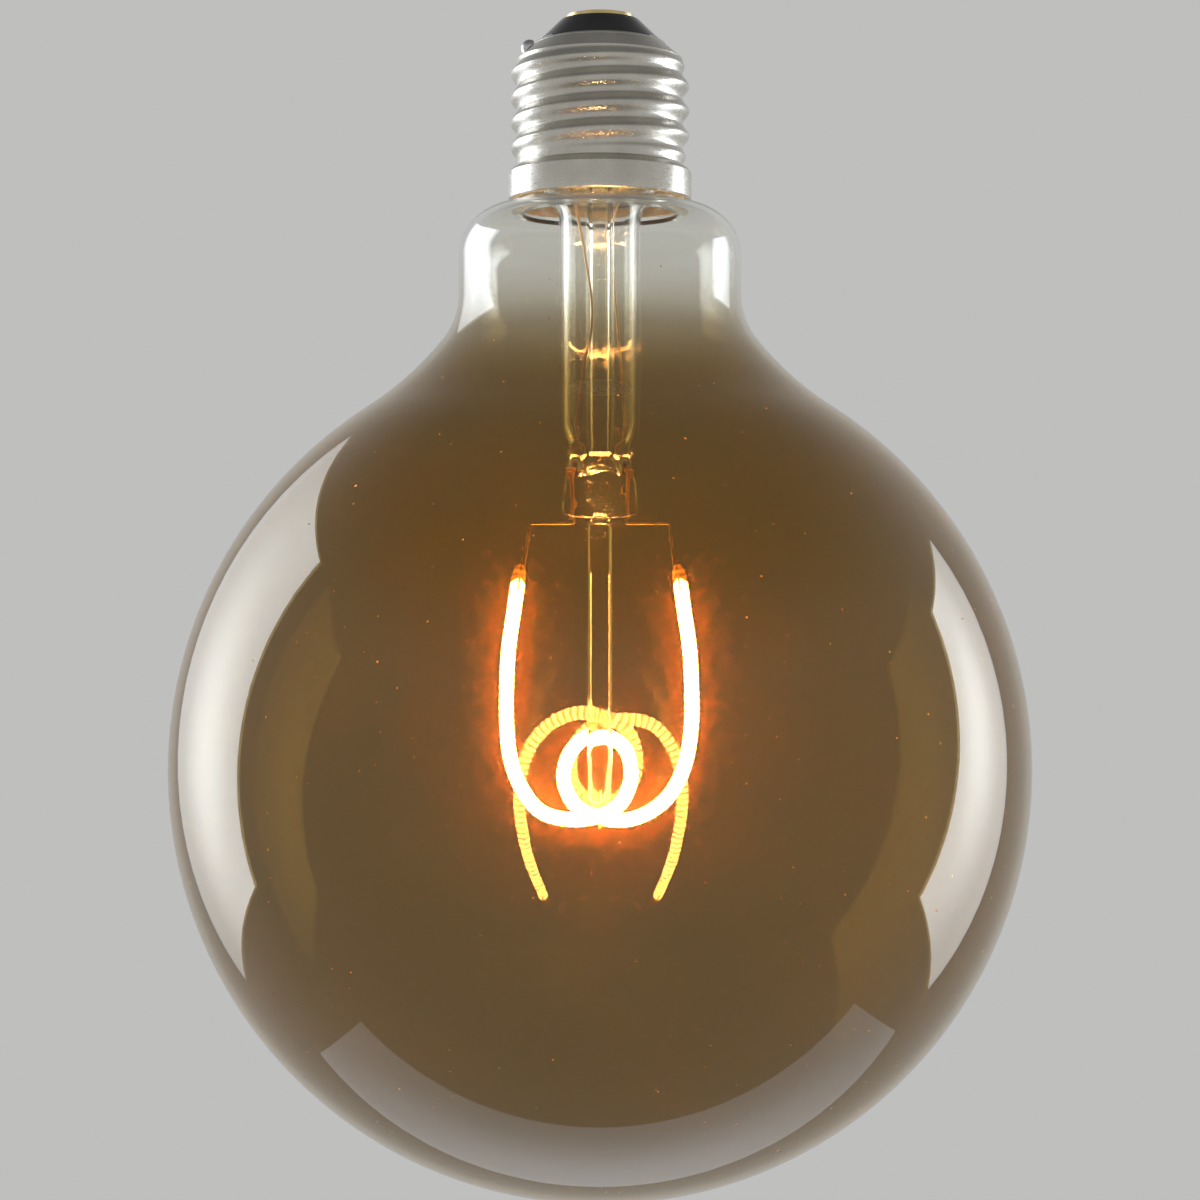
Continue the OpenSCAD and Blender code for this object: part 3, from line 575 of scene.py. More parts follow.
def glowing(name, body_colour):
    """Glowing silicone: white hot, with a row of beads of light, and dim amber at the strip's tips."""
    mat, nodes, links, out = material_nodes(name)
    where = nodes.new("ShaderNodeUVMap")
    where.uv_map = "along_across"
    split = nodes.new("ShaderNodeSeparateXYZ")
    links.new(where.outputs["UV"], split.inputs["Vector"])
    along, across = split.outputs["X"], split.outputs["Y"]
    middle = combined(nodes, links, "SUBTRACT", across, 0.5)
    from_middle = combined(nodes, links, "ABSOLUTE", middle, 0)
    notch = combined(nodes, links, "MULTIPLY", from_middle, TIP_SLANT)
    start = combined(nodes, links, "ADD", along, notch)
    lit = ranged(nodes, links, start, DARK_TIP, DARK_TIP + LIT_RUN, DIM_SHARE, 1)
    phase = combined(nodes, links, "MULTIPLY", along, 2 * pi / BEAD_PITCH)
    wave = combined(nodes, links, "COSINE", phase, 0)
    beads = ranged(nodes, links, wave, -1, 1, BEAD_LOW, 1)
    light = combined(nodes, links, "MULTIPLY", lit, beads)
    strength = combined(nodes, links, "MULTIPLY", light, HOT_STRENGTH)
    glow = ramp(nodes, links, lit, [(0.02, DIM_AMBER), (0.4, HOT)])
    coat = principled(nodes, body_colour, Roughness=0.45)
    links.new(glow, coat.inputs["Emission Color"])
    links.new(strength, coat.inputs["Emission Strength"])
    links.new(coat.outputs["BSDF"], out.inputs["Surface"])
    return mat


def metal(name, colour, roughness, dark=0.8, scale=400, stretch=(1, 1, 1), relief=0.004):
    """Metal with cloudy tarnish, dark times as bright as the colour, and fine scratches."""
    mat, nodes, links, out = material_nodes(name)
    body = principled(nodes, Metallic=1, Roughness=roughness)
    cloud = noise(nodes, links, scale, detail=5)
    shade = tuple(c * dark for c in colour)
    tones = ramp(nodes, links, cloud, [(TARNISH[0], shade), (TARNISH[1], colour)])
    links.new(tones, body.inputs["Base Color"])
    grain = noise(nodes, links, scale * 6, detail=3, stretch=stretch)
    gloss = ranged(nodes, links, grain, 0.3, 0.7, roughness * 0.75, roughness * 1.3)
    links.new(gloss, body.inputs["Roughness"])
    links.new(bump(nodes, links, grain, relief * MM, strength=0.5), body.inputs["Normal"])
    links.new(body.outputs["BSDF"], out.inputs["Surface"])
    return mat


def matt(name, colour, shade, roughness, scale=900, relief=0.02):
    """Plastic, ceramic or cement with mottled colour and a fine grain."""
    mat, nodes, links, out = material_nodes(name)
    body = principled(nodes, Roughness=roughness)
    cloud = noise(nodes, links, scale, detail=4)
    tones = ramp(nodes, links, cloud, [(MOTTLE[0], shade), (MOTTLE[1], colour)])
    links.new(tones, body.inputs["Base Color"])
    grain = noise(nodes, links, scale * 4, detail=2)
    links.new(bump(nodes, links, grain, relief * MM, strength=0.4), body.inputs["Normal"])
    links.new(body.outputs["BSDF"], out.inputs["Surface"])
    return mat


# Look of each material slot. After its colour a metal has its roughness, the brightness of its tarnish and
# the scale of its clouds. After their two colours the others have roughness, scale and relief.
LOOKS = {
    "amber_glass": amber_glass(),
    "clear_glass": clear_glass(),
    "nickel_wire": metal("nickel_wire_look", (0.86, 0.58, 0.28), 0.38, 0.6, 900),
    "copper_clad_wire": metal("copper_clad_wire_look", (1, 0.62, 0.28), 0.55, 0.85, 900),
    "copper_wire": metal("copper_wire_look", (0.98, 0.7, 0.4), 0.45, 0.85, 900),
    "flexible_strip": glowing("flexible_strip_look", (0.82, 0.7, 0.45)),
    "light_chip": matt("light_chip_look", (0.25, 0.4, 0.85), (0.18, 0.3, 0.7), 0.2),
    "phosphor": glowing("phosphor_look", (0.85, 0.42, 0.08)),
    "plated_shell": metal(
        "plated_shell_look", (0.66, 0.63, 0.56), 0.3, 0.8, 160, stretch=(1, 1, 14), relief=0.006
    ),
    "black_glass": matt("black_glass_look", (0.012, 0.012, 0.014), (0.006, 0.006, 0.008), 0.12, 300, 0.01),
    "contact_brass": metal("contact_brass_look", (0.8, 0.62, 0.3), 0.28, 0.75, 500),
    "solder": metal("solder_look", (0.66, 0.66, 0.67), 0.33, 0.75, 700, relief=0.02),
    "cement": matt("cement_look", (0.76, 0.56, 0.33), (0.62, 0.42, 0.22), 0.85, 1500, 0.06),
    "board_laminate": matt("board_laminate_look", (0.05, 0.22, 0.11), (0.04, 0.17, 0.08), 0.4),
    "chip_package": matt("chip_package_look", (0.03, 0.03, 0.03), (0.02, 0.02, 0.022), 0.5),
    "chip_resistor": matt("chip_resistor_look", (0.05, 0.05, 0.055), (0.035, 0.035, 0.04), 0.35),
    "can_aluminium": metal("can_aluminium_look", (0.8, 0.8, 0.82), 0.3),
    "capacitor_sleeve": matt("capacitor_sleeve_look", (0.03, 0.04, 0.09), (0.02, 0.03, 0.07), 0.3),
    "rubber_bung": matt("rubber_bung_look", (0.05, 0.05, 0.05), (0.035, 0.035, 0.035), 0.8),
    "tinned_wire": metal("tinned_wire_look", (0.75, 0.75, 0.74), 0.3, 0.8, 900),
    "resistor_body": matt("resistor_body_look", (0.25, 0.4, 0.25), (0.2, 0.33, 0.2), 0.45),
    "shrink_sleeve": matt("shrink_sleeve_look", (0.8, 0.79, 0.74), (0.72, 0.7, 0.66), 0.5),
    "red_insulation": matt("red_insulation_look", (0.55, 0.05, 0.04), (0.45, 0.035, 0.03), 0.4),
    "blue_insulation": matt("blue_insulation_look", (0.05, 0.12, 0.45), (0.04, 0.09, 0.36), 0.4),
}


def dress_frame():
    """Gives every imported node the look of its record's material slot, or the solder look if it has none."""
    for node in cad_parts.values():
        for place in node.material_slots:
            base = place.material.name.split(".")[0]
            place.material = LOOKS.get(base, LOOKS["solder"])


# Globe

def globe_outline(wall):
    """Half outline of the globe, wall inside its outer face, from the bottom to the seal tube's top."""
    reach = BALL_R + SWEEP_R
    sweep = (reach * cos(radians(SWEEP_START)), reach * sin(radians(SWEEP_START)))
    shift = NECK_R + BEND_R - sweep[0]
    bend = (sweep[0] + shift, sweep[1] - sqrt((SWEEP_R - BEND_R) ** 2 - shift ** 2))
    sweep_end = degrees(atan2(bend[1] - sweep[1], bend[0] - sweep[0])) + 360
    neck_end = (NECK_R - NECK_END_R, NECK_END_Z - NECK_END_R)
    tube_r = SEAL_TUBE_R - wall
    tube_foot_z = NECK_END_Z - wall
    return (
        arc((0, BALL_Z), BALL_R - wall, -90, SWEEP_START)
        + arc((sweep[0], sweep[1] + BALL_Z), SWEEP_R + wall, SWEEP_START + 180, sweep_end)[1:]
        + arc((bend[0], bend[1] + BALL_Z), BEND_R + wall, sweep_end, 180)[1:]
        + arc(neck_end, NECK_END_R - wall, 0, NECK_END_ANGLE)
        + [(tube_r, tube_foot_z), (tube_r, tube_foot_z + SEAL_TUBE_STEP), (tube_r, SEAL_TOP_Z)]
    )


def build_globe():
    """Blown globe with its neck and seal tube."""
    outline = globe_outline(0) + list(reversed(globe_outline(GLASS_WALL)))
    verts, faces = revolved(outline, GLOBE_SIDES)
    new_piece("blown_globe", verts, faces, "amber_glass", "globe_glass")


# Stem

# Dents that the pincers leave in the press: side, across, level, reach across, reach up, depth
PRESS_DENTS = [
    (1, -0.7, -71.0, 1.9, 0.55, 0.75), (1, 1.2, -69.4, 1.3, 0.5, 0.4), (-1, 2.9, -70.0, 1.2, 0.8, 0.5),
    (1, 2.6, -72.3, 1.2, 0.6, 0.4), (-1, -2.9, -71.9, 1.0, 0.9, 0.45), (1, -3.1, -69.5, 1.0, 0.6, 0.45),
    (-1, 0.2, -72.7, 1.1, 0.45, 0.5), (-1, -0.6, -69.2, 2.2, 0.4, 0.35),
]

# Depth of the waves between the dents
WAVE_DEPTH = 0.12

# Small bubbles in the press: across, back, level, radius
PRESS_BUBBLES = [
    (-3.4, -0.9, -72.1, 0.16), (-2.6, 0.6, -70.9, 0.1), (2.3, -0.6, -72.6, 0.13),
    (3.3, 0.5, -70.4, 0.09), (1.0, -1.2, -71.5, 0.12), (-0.8, 0.9, -70.2, 0.08),
]

# Rings of the blown hole's cutter: place front to back, and size against the hole's own
HOLE_RINGS = ((-4, 1.35), (-2.7, 1.12), (-1.9, 1), (-0.1, 1))


def full_ring(w, t, z, fullness):
    """Ring of points w wide and t thick, between an ellipse and a box as its fullness says."""
    ring = []
    for j in range(STEM_SIDES):
        a = 2 * pi * j / STEM_SIDES
        k = (abs(cos(a)) ** fullness + abs(sin(a)) ** fullness) ** (-1 / fullness)
        ring.append((w / 2 * cos(a) * k, t / 2 * sin(a) * k, z))
    return ring


def stem_thickness(z):
    """Thickness of the stem at level z, front to back. It turns flat lower down than it turns narrow."""
    return 2 * STEM_R + (PRESS_T - 2 * STEM_R) * ease((FLATTEN_Z - z) / (FLATTEN_Z - FLAT_Z))


def stem_ring(z, wall):
    """Ring of the stem at level z, drawn inside its outer face by wall."""
    if z > SQUEEZE_Z:
        return full_ring(2 * (STEM_R - wall), 2 * (STEM_R - wall), z, ROUND)
    if z > PRESS_Z:
        u = ease((SQUEEZE_Z - z) / (SQUEEZE_Z - PRESS_Z))
        w = 2 * STEM_R + (PRESS_TOP_W - 2 * STEM_R) * u
        fullness = ROUND + (PRESS_FULLNESS - ROUND) * u
    else:
        u = ease((PRESS_Z - z) / (PRESS_Z - PRESS_FOOT_Z - FOOT_STRAIGHT))
        w = PRESS_TOP_W + (PRESS_FOOT_W - PRESS_TOP_W) * u
        fullness = PRESS_FULLNESS
    return full_ring(w - 2 * wall, stem_thickness(z) - 2 * wall, z, fullness)


def pinched(p):
    """Point of the stem's outer face, with the arched shoulder, waves and dents that pincers leave."""
    x, y, z = p
    aside = (abs(x) - SHOULDER_START_X) / (SHOULDER_END_X - SHOULDER_START_X)
    y *= stem_thickness(z + SHOULDER_DROP * ease(aside)) / stem_thickness(z)
    side = 1 if y > 0 else -1
    below_top = ease((PRESS_Z - 2 - z) / 2)
    above_foot = ease((z - PRESS_FOOT_Z) / 1.2)
    inside_edges = ease((3.5 - abs(x)) / 0.8)
    broad_wave = sin(1.9 * x + 0.7 * z + 0.6) * sin(1.5 * z - 0.8 * x)
    small_wave = 0.6 * sin(3.1 * x - 2.3 * z + 1.3 * side)
    deep = WAVE_DEPTH * (1 - broad_wave - small_wave)
    for face, across, level, reach_x, reach_z, depth in PRESS_DENTS:
        if face == side:
            deep += depth * exp(-((x - across) / reach_x) ** 4 - ((z - level) / reach_z) ** 4)
    return x, y - side * below_top * above_foot * inside_edges * deep, z


def creased(p):
    """Point of the space inside the flare tube, whose foot is deepest left and right of the pump tube."""
    x, y, z = p
    furrow = 0.3 * exp(-((abs(x) - 2.9) / 0.7) ** 2)
    rise = 0.35 * ease((abs(x) - 3.3) / 1.2)
    return x, y, PRESS_Z + (z - PRESS_Z) * (0.8 + furrow - rise)


def flare_rings(r):
    """Rings of the flare's mouth, with the radius r from the middle of its bend."""
    mouth = arc((FLARE_RIM_R, FLARE_Z), r, 90, 180, 6)
    return [full_ring(2 * across, 2 * across, z, ROUND) for across, z in mouth]


def levels_between(top, foot, rows):
    """Even levels from below top down to foot."""
    return [top - (top - foot) * i / rows for i in range(1, rows + 1)]


def foot_rings():
    """Rings of the press's rounded foot."""
    rings = []
    for i in range(1, FOOT_ROWS + 1):
        a = radians(90 * i / FOOT_ROWS)
        inset = FOOT_ROUND * (1 - cos(a))
        z = PRESS_FOOT_Z + FOOT_ROUND * (1 - sin(a))
        fullness = PRESS_FULLNESS - (PRESS_FULLNESS - FOOT_FULLNESS) * i / FOOT_ROWS
        rings.append(full_ring(PRESS_FOOT_W - 2 * inset, PRESS_T - 1.5 * inset, z, fullness))
    return rings


def cavity_rings():
    """Rings of the space inside the stem, from the press's top down to the foot of that space."""
    rings = []
    for i in range(1, CAVITY_ROWS + 1):
        u = i / CAVITY_ROWS
        z = PRESS_Z + (CAVITY_FOOT_Z - PRESS_Z) * u
        w = (PRESS_TOP_W - 2 * STEM_WALL) * (1 - 0.12 * u * u)
        t = (stem_thickness(z) - 2 * STEM_WALL) * max(0.06, sqrt(1 - u * u))
        rings.append([creased(p) for p in full_ring(w, t, z, CAVITY_FULLNESS)])
    return rings


def stem_shell():
    """Points and faces of the stem: up its outside from the foot, over the flare's rim and down inside."""
    tube = levels_between(FLARE_Z, SQUEEZE_Z, STEM_ROWS) + levels_between(SQUEEZE_Z, PRESS_Z, STEM_ROWS)
    press = levels_between(PRESS_Z, PRESS_FOOT_Z + FOOT_ROUND, PRESS_ROWS)
    outer = flare_rings(FLARE_R)
    outer += [[pinched(p) for p in stem_ring(z, 0)] for z in tube + press]
    outer += foot_rings()
    inner = flare_rings(FLARE_R + STEM_WALL)
    inner += [stem_ring(z, STEM_WALL) for z in tube]
    inner += cavity_rings()
    outside = lofted(list(reversed(outer)), caps=(True, False))
    inside = lofted(inner, caps=(False, True))
    verts, faces = joined(outside, inside)
    inner_rim = len(outside[0])
    outer_rim = inner_rim - STEM_SIDES
    for j in range(STEM_SIDES):
        k = (j + 1) % STEM_SIDES
        faces.append((outer_rim + j, outer_rim + k, inner_rim + k, inner_rim + j))
    return verts, faces


def bubble(x, y, z, r):
    """Points and faces of a drawn-out bubble, which faces inwards because it is a hollow."""
    verts, faces = ball_mesh((x, y, z), r, (1, 1, 1.4), sides=12)
    return verts, [tuple(reversed(face)) for face in faces]


def build_stem():
    """Flare tube and press as one fused glass shell with bubbles, and with the blown hole in its front."""
    verts, faces = joined(stem_shell(), *[bubble(*seed) for seed in PRESS_BUBBLES])
    piece = new_piece("stem_glass", verts, faces, "clear_glass", "flare_tube", "stem_press")
    cut_blow_hole(piece)


def blow_hole_cutter():
    """Flattened round bar through the press's front, wider at its mouth."""
    rings = []
    for y, grow in HOLE_RINGS:
        ring = level_ring(HOLE_HALF_W * grow, HOLE_HALF_H * grow, y, HOLE_SIDES)
        rings.append([(x, y, HOLE_Z - up) for x, up, y in ring])
    return new_object("blow_hole_cutter", new_mesh("blow_hole_cutter", *lofted(rings)))


def cut_blow_hole(piece):
    """Opens the press's front into the foot of the pump tube."""
    cutter = blow_hole_cutter()
    cut = piece.modifiers.new("blow_hole", "BOOLEAN")
    cut.operation = "DIFFERENCE"
    cut.solver = "EXACT"
    cut.object = cutter
    graph = bpy.context.evaluated_depsgraph_get()
    whole = bpy.data.meshes.new_from_object(piece.evaluated_get(graph))
    piece.modifiers.clear()
    piece.data = whole
    smooth(whole)
    bpy.data.objects.remove(cutter)


# Bell foot of the pump tube: level over the press's top, and width and depth against the tube's own
PUMP_BELL = [
    (-2.75, 1.6, 0.5), (-2.4, 1.59, 0.53), (-1.9, 1.52, 0.58), (-1.4, 1.41, 0.65), (-0.95, 1.27, 0.72),
    (-0.55, 1.13, 0.79), (-0.15, 1.04, 0.86), (0.35, 1.01, 0.92), (1.4, 1, 0.98), (2.4, 1, 1),
]

# Molten upper tip of the pump tube, outside and inside: radius, and drop from the tip
PUMP_TIP = [
    (EXHAUST_R, 4.2), (EXHAUST_R - 0.1, 3.2), (EXHAUST_R - 0.35, 2.2), (EXHAUST_R - 0.8, 1.2),
    (0.75, 0.5), (0.35, 0.12), (0.02, 0),
]
BORE_TIP = [(0.02, 1.7), (0.3, 1.8), (0.7, 2.4), (1.05, 3.4), (EXHAUST_BORE_R, 4.6)]

# Root of the rod in the press: radius over the rod's own, and level over the press's foot
ROD_ROOT = [(0, -0.9), (0.12, -0.45), (0.5, 0.02), (0, 0.5), (-0.36, 1.1), (-ROD_R, 1.5)]


def build_pump_tube():
    """Pump tube, melted shut at its upper tip and blown out to a flat bell where it meets the press."""
    wall = EXHAUST_R - EXHAUST_BORE_R
    rings = []
    for up, widen, flatten in PUMP_BELL:
        rings.append(level_ring(EXHAUST_R * widen, EXHAUST_R * flatten, PRESS_Z + up, PUMP_SIDES))
    for r, drop in PUMP_TIP + BORE_TIP:
        rings.append(level_ring(r, r, TIP_OFF_Z - drop, PUMP_SIDES))
    for up, widen, flatten in reversed(PUMP_BELL):
        half_w = EXHAUST_R * widen - wall
        half_t = max(0.35, EXHAUST_R * flatten - wall * 0.8)
        rings.append(level_ring(half_w, half_t, PRESS_Z + up, PUMP_SIDES))
    verts, faces = lofted(rings, closed=True)
    new_piece("pump_tube", verts, faces, "clear_glass", "exhaust_tube")


def build_rod():
    """Solid glass rod with a rounded tip, melted to the press with a fillet."""
    outline = [(0, ROD_END_Z)]
    outline += arc((ROD_R - ROD_TIP_R, ROD_END_Z + ROD_TIP_R), ROD_TIP_R, -90, 0, 15)
    outline += [(ROD_R + grow, PRESS_FOOT_Z + up) for grow, up in ROD_ROOT]
    verts, faces = revolved(outline, ROD_SIDES)
    new_piece("glass_rod", verts, faces, "clear_glass", "centre_rod")


# Filament

ROUTE_SIZE = (FILAMENT_W / 100, CURL_DEPTH / 100, FILAMENT_H / 100)
ROUTE_POINTS = [
    Vector((x * ROUTE_SIZE[0], y * ROUTE_SIZE[1], FILAMENT_LOW_Z + z * ROUTE_SIZE[2]))
    for x, y, z in FILAMENT_ROUTE
]
STRIP_PATH = smooth_path(ROUTE_POINTS, ROUTE_STEPS)
STRIP_HEADINGS = headings(STRIP_PATH)
STRIP_NORMALS = [Vector((0, 1, 0)).cross(ahead).normalized() for ahead in STRIP_HEADINGS]


def coat_section(height, side):
    """Half ellipse over one face of the strip, as pairs of height and place across."""
    base = STRIP_T / 2 + COAT_LIFT
    angles = [pi * k / COAT_STEPS for k in range(COAT_STEPS + 1)]
    return [(side * (base + height * sin(a)), -side * STRIP_W / 2 * cos(a)) for a in angles]


def coat_route():
    """Path, headings and normals of the coats, which reach out over the metal tabs at both tips."""
    path, ahead, normals = list(STRIP_PATH), list(STRIP_HEADINGS), list(STRIP_NORMALS)
    for reach in (TIP_REACH / 3, TIP_REACH * 2 / 3, TIP_REACH):
        before = STRIP_PATH[0] - STRIP_HEADINGS[0] * reach
        after = STRIP_PATH[-1] + STRIP_HEADINGS[-1] * reach
        path = [before] + path + [after]
        ahead = [ahead[0]] + ahead + [ahead[-1]]
        normals = [normals[0]] + normals + [normals[-1]]
    return path, ahead, normals


def distances(path):
    """Length of the path up to each of its points."""
    along = [0]
    for before, after in zip(path, path[1:]):
        along.append(along[-1] + (after - before).length)
    return along


def build_band(name, node, section, slot, swollen):
    """Part of the filament swept along its path. A swollen one is round at its tips.

    Its map gives the millimetres from the nearer tip and the place across.
    """
    route = coat_route() if swollen else (STRIP_PATH, STRIP_HEADINGS, STRIP_NORMALS)
    along = distances(route[0])
    to_tip = [min(travelled, along[-1] - travelled) for travelled in along]
    rings = []
    for p, ahead, normal, from_tip in zip(*route, to_tip):
        beside = ahead.cross(normal)
        end = min(1, from_tip / TIP_ROUND)
        swell = TIP_SWELL + (1 - TIP_SWELL) * sqrt(end * (2 - end)) if swollen else 1
        widen = TIP_SWELL + (1 - TIP_SWELL) * swell
        rings.append([p + normal * height * swell + beside * across * widen for height, across in section])
    verts, faces = lofted(rings)
    piece = new_piece(name, verts, faces, slot, node)
    layer = piece.data.uv_layers.new(name="along_across")
    for loop in piece.data.loops:
        ring, k = divmod(loop.vertex_index, len(section))
        across = k / (len(section) - 1) if swollen else 0.5
        layer.data[loop.index].uv = (to_tip[ring], across)


def build_filament():
    """Strip with its two glowing coats."""
    x = STRIP_T / 2
    y = STRIP_W / 2 + STRIP_EDGE
    flat_section = [(-x, -y), (x, -y), (x, y), (-x, y)]
    build_band("carrier_strip", "filament_strip", flat_section, "flexible_strip", False)
    build_band("coat_outer", "filament_coat_outer", coat_section(COAT_OUTER_T, 1), "phosphor", True)
    build_band("coat_inner", "filament_coat_inner", coat_section(COAT_INNER_T, -1), "phosphor", True)


def tip_frame(side):
    """Point, heading out of the tip and normal at the strip's left tip (side -1) or right tip (side 1)."""
    end = 0 if side < 0 else -1
    return STRIP_PATH[end], STRIP_HEADINGS[end] * side, STRIP_NORMALS[end]


# Wires

# Routes of the wires inside the flare tube, from the press up to the pins of the board
OUTER_LEAD_ROUTES = {
    "outer_lead_left": [
        (-SEAL_WIRE_X, 0, PRESS_Z - 0.2), (-SEAL_WIRE_X, 0, PRESS_Z + 2), (-2.2, -2.3, SQUEEZE_Z + 8),
        (-1.2, -2.9, SQUEEZE_Z + 13), (-1.3, -2.9, SQUEEZE_Z + 19), (-3.3, -1.6, FLARE_Z + 2),
        (-4.3, -0.6, SEAL_TOP_Z + 1.6), (-PIN_X, PIN_START_Y, PIN_Z), (-PIN_X, PIN_END_Y, PIN_Z),
    ],
    "outer_lead_right": [
        (SEAL_WIRE_X, 0, PRESS_Z - 0.2), (SEAL_WIRE_X, 0, PRESS_Z + 2), (2.9, 1.6, SQUEEZE_Z + 11),
        (2, 2.6, SQUEEZE_Z + 23), (1.9, 2.7, FLARE_Z), (3.4, 1.6, SEAL_TOP_Z + 1.6),
        (PIN_X, PIN_START_Y, PIN_Z), (PIN_X, PIN_END_Y, PIN_Z),
    ],
}


def build_inner_lead(side, name):
    """Bent wire from the press to the filament's left tip (side -1) or right tip (side 1)."""
    tip, out, normal = tip_frame(side)
    beside = -normal * (TAB_T / 2 + LEAD_D / 2 + WELD_GAP)
    corner = Vector((side * LEAD_CORNER_X, 0, PRESS_FOOT_Z - LEAD_DROP))
    top = tip + out * TAB_L + beside
    path = bent_path([
        Vector((side * SEAL_WIRE_X, 0, PRESS_FOOT_Z + LEAD_ROOT)),
        Vector((side * SEAL_WIRE_X, 0, PRESS_FOOT_Z - LEAD_DROP)),
        corner,
        top,
        tip + out * TAB_L * 0.2 + beside,
    ], LEAD_DROP * 0.8)
    weld = ball_mesh(corner.lerp(top, WELD_BEAD_PLACE), WELD_BEAD_R, (0.8, 0.8, 1.3))
    verts, faces = joined(wire_mesh(path, LEAD_D / 2), weld)
    new_piece(name + "_wire", verts, faces, "nickel_wire", name)


def build_outer_leads():
    """Wires inside the flare tube."""
    for name, route in OUTER_LEAD_ROUTES.items():
        points = [Vector(p) for p in route]
        path = smooth_path(points[:-2], 8) + bent_path(points[-3:], 0.5)[1:]
        verts, faces = wire_mesh(path, LEAD_D / 2)
        new_piece(name + "_wire", verts, faces, "copper_wire", name)


# Cap

def thread_r(a, z):
    """Outer radius of the shell at angle a and level z, with the thread fading out at both ends."""
    u = min(1, (THREAD_TOP_Z - z) / THREAD_FADE, (z - THREAD_FOOT_Z) / THREAD_FADE)
    lift = ease(u) * (THREAD_MAJOR_R - THREAD_MINOR_R) / 2
    return THREAD_MINOR_R + lift * (1 + cos(a - 2 * pi * z / THREAD_PITCH))


def thread_rows():
    """Rows of radius and level round the shell, from the thread's top to its foot."""
    rows = []
    for i in range(THREAD_ROWS + 1):
        z = THREAD_TOP_Z + (THREAD_FOOT_Z - THREAD_TOP_Z) * i / THREAD_ROWS
        rows.append([(thread_r(2 * pi * j / SHELL_SIDES, z), z) for j in range(SHELL_SIDES)])
    return rows


def build_shell():
    """Rolled screw shell, from the lip down the thread and the skirt, and back inside."""
    lip = arc((LIP_R - LIP_ROUND, LIP_Z - LIP_ROUND), LIP_ROUND, 90, 0, 22.5)
    above = lip + [(THREAD_MINOR_R - 0.25, THREAD_TOP_Z + 0.22)]
    below = [(THREAD_MINOR_R + 0.06, THREAD_FOOT_Z - 0.12), (SKIRT_R - 0.32, SKIRT_TOP_Z + 0.2)]
    below += arc((SKIRT_R - SKIRT_ROUND, SKIRT_TOP_Z - SKIRT_ROUND), SKIRT_ROUND, 70, 0, 24)
    below += [(SKIRT_R, RIM_Z + 0.5), (SKIRT_R, RIM_Z + 0.08), (SKIRT_R - 0.1, RIM_Z)]
    rows = [[point] * SHELL_SIDES for point in above]
    rows += thread_rows()
    rows += [[point] * SHELL_SIDES for point in below]
    rows += [[(r - CAP_WALL, z) for r, z in row] for row in reversed(rows)]
    angles = [2 * pi * j / SHELL_SIDES for j in range(SHELL_SIDES)]
    rings = [[(r * cos(a), r * sin(a), z) for a, (r, z) in zip(angles, row)] for row in rows]
    verts, faces = lofted(rings, closed=True)
    new_piece("screw_shell", verts, faces, "plated_shell", "cap_shell")


# Stage: brightness of the walls and the ceiling, where 1 shows as white, and how high up they meet
PALE = 0.52
CEILING = 0.2
CEILING_START = 22
CEILING_END = 60
WORLD_COLOUR = (1, 1, 0.99, 1)

# Floor, which runs into the pale world between the two distances of FLOOR_FADE from the middle
FLOOR_Z = -420
FLOOR_HALF = 3000
FLOOR_FADE = (260, 500)
FLOOR_COLOUR = (0.5, 0.5, 0.495, 1)

# Lamps: colour, the shares of it in the bright middle and round it, and how far the middle reaches
SOFT_WHITE = (0.88, 0.955, 1.06, 1)
SPOT_SHARES = (1.4, 0.92)
SPOT_REACH = (0.02, 0.5)

# Share of a lamp that shows straight through the globe, and the faces of glass on that straight line
SEEN_THROUGH = 0.1
FACES_IN_LINE = 4


def floor_surface(nodes, links):
    """Paper near the middle, the pale world's light far away, and clear from below."""
    where = nodes.new("ShaderNodeTexCoord")
    away = nodes.new("ShaderNodeVectorMath")
    away.operation = "LENGTH"
    links.new(where.outputs["Object"], away.inputs[0])
    far = ranged(nodes, links, away.outputs["Value"], FLOOR_FADE[0] * MM, FLOOR_FADE[1] * MM)
    paper = nodes.new("ShaderNodeBsdfDiffuse")
    paper.inputs["Color"].default_value = FLOOR_COLOUR
    pale = nodes.new("ShaderNodeEmission")
    pale.inputs["Color"].default_value = WORLD_COLOUR
    pale.inputs["Strength"].default_value = PALE
    top = share(nodes, links, paper.outputs["BSDF"], pale.outputs["Emission"], far)
    side = nodes.new("ShaderNodeNewGeometry")
    open_below = nodes.new("ShaderNodeBsdfTransparent")
    return share(nodes, links, top, open_below.outputs["BSDF"], side.outputs["Backfacing"])


def build_floor():
    """Pale floor under the hanging bulb."""
    half, z = FLOOR_HALF * MM, FLOOR_Z * MM
    corners = [(-half, -half, z), (half, -half, z), (half, half, z), (-half, half, z)]
    mesh = bpy.data.meshes.new("floor")
    mesh.from_pydata(corners, [], [(0, 1, 2, 3)])
    floor = new_object("floor", mesh)
    mat, nodes, links, out = material_nodes("floor_look")
    links.new(floor_surface(nodes, links), out.inputs["Surface"])
    mesh.materials.append(mat)


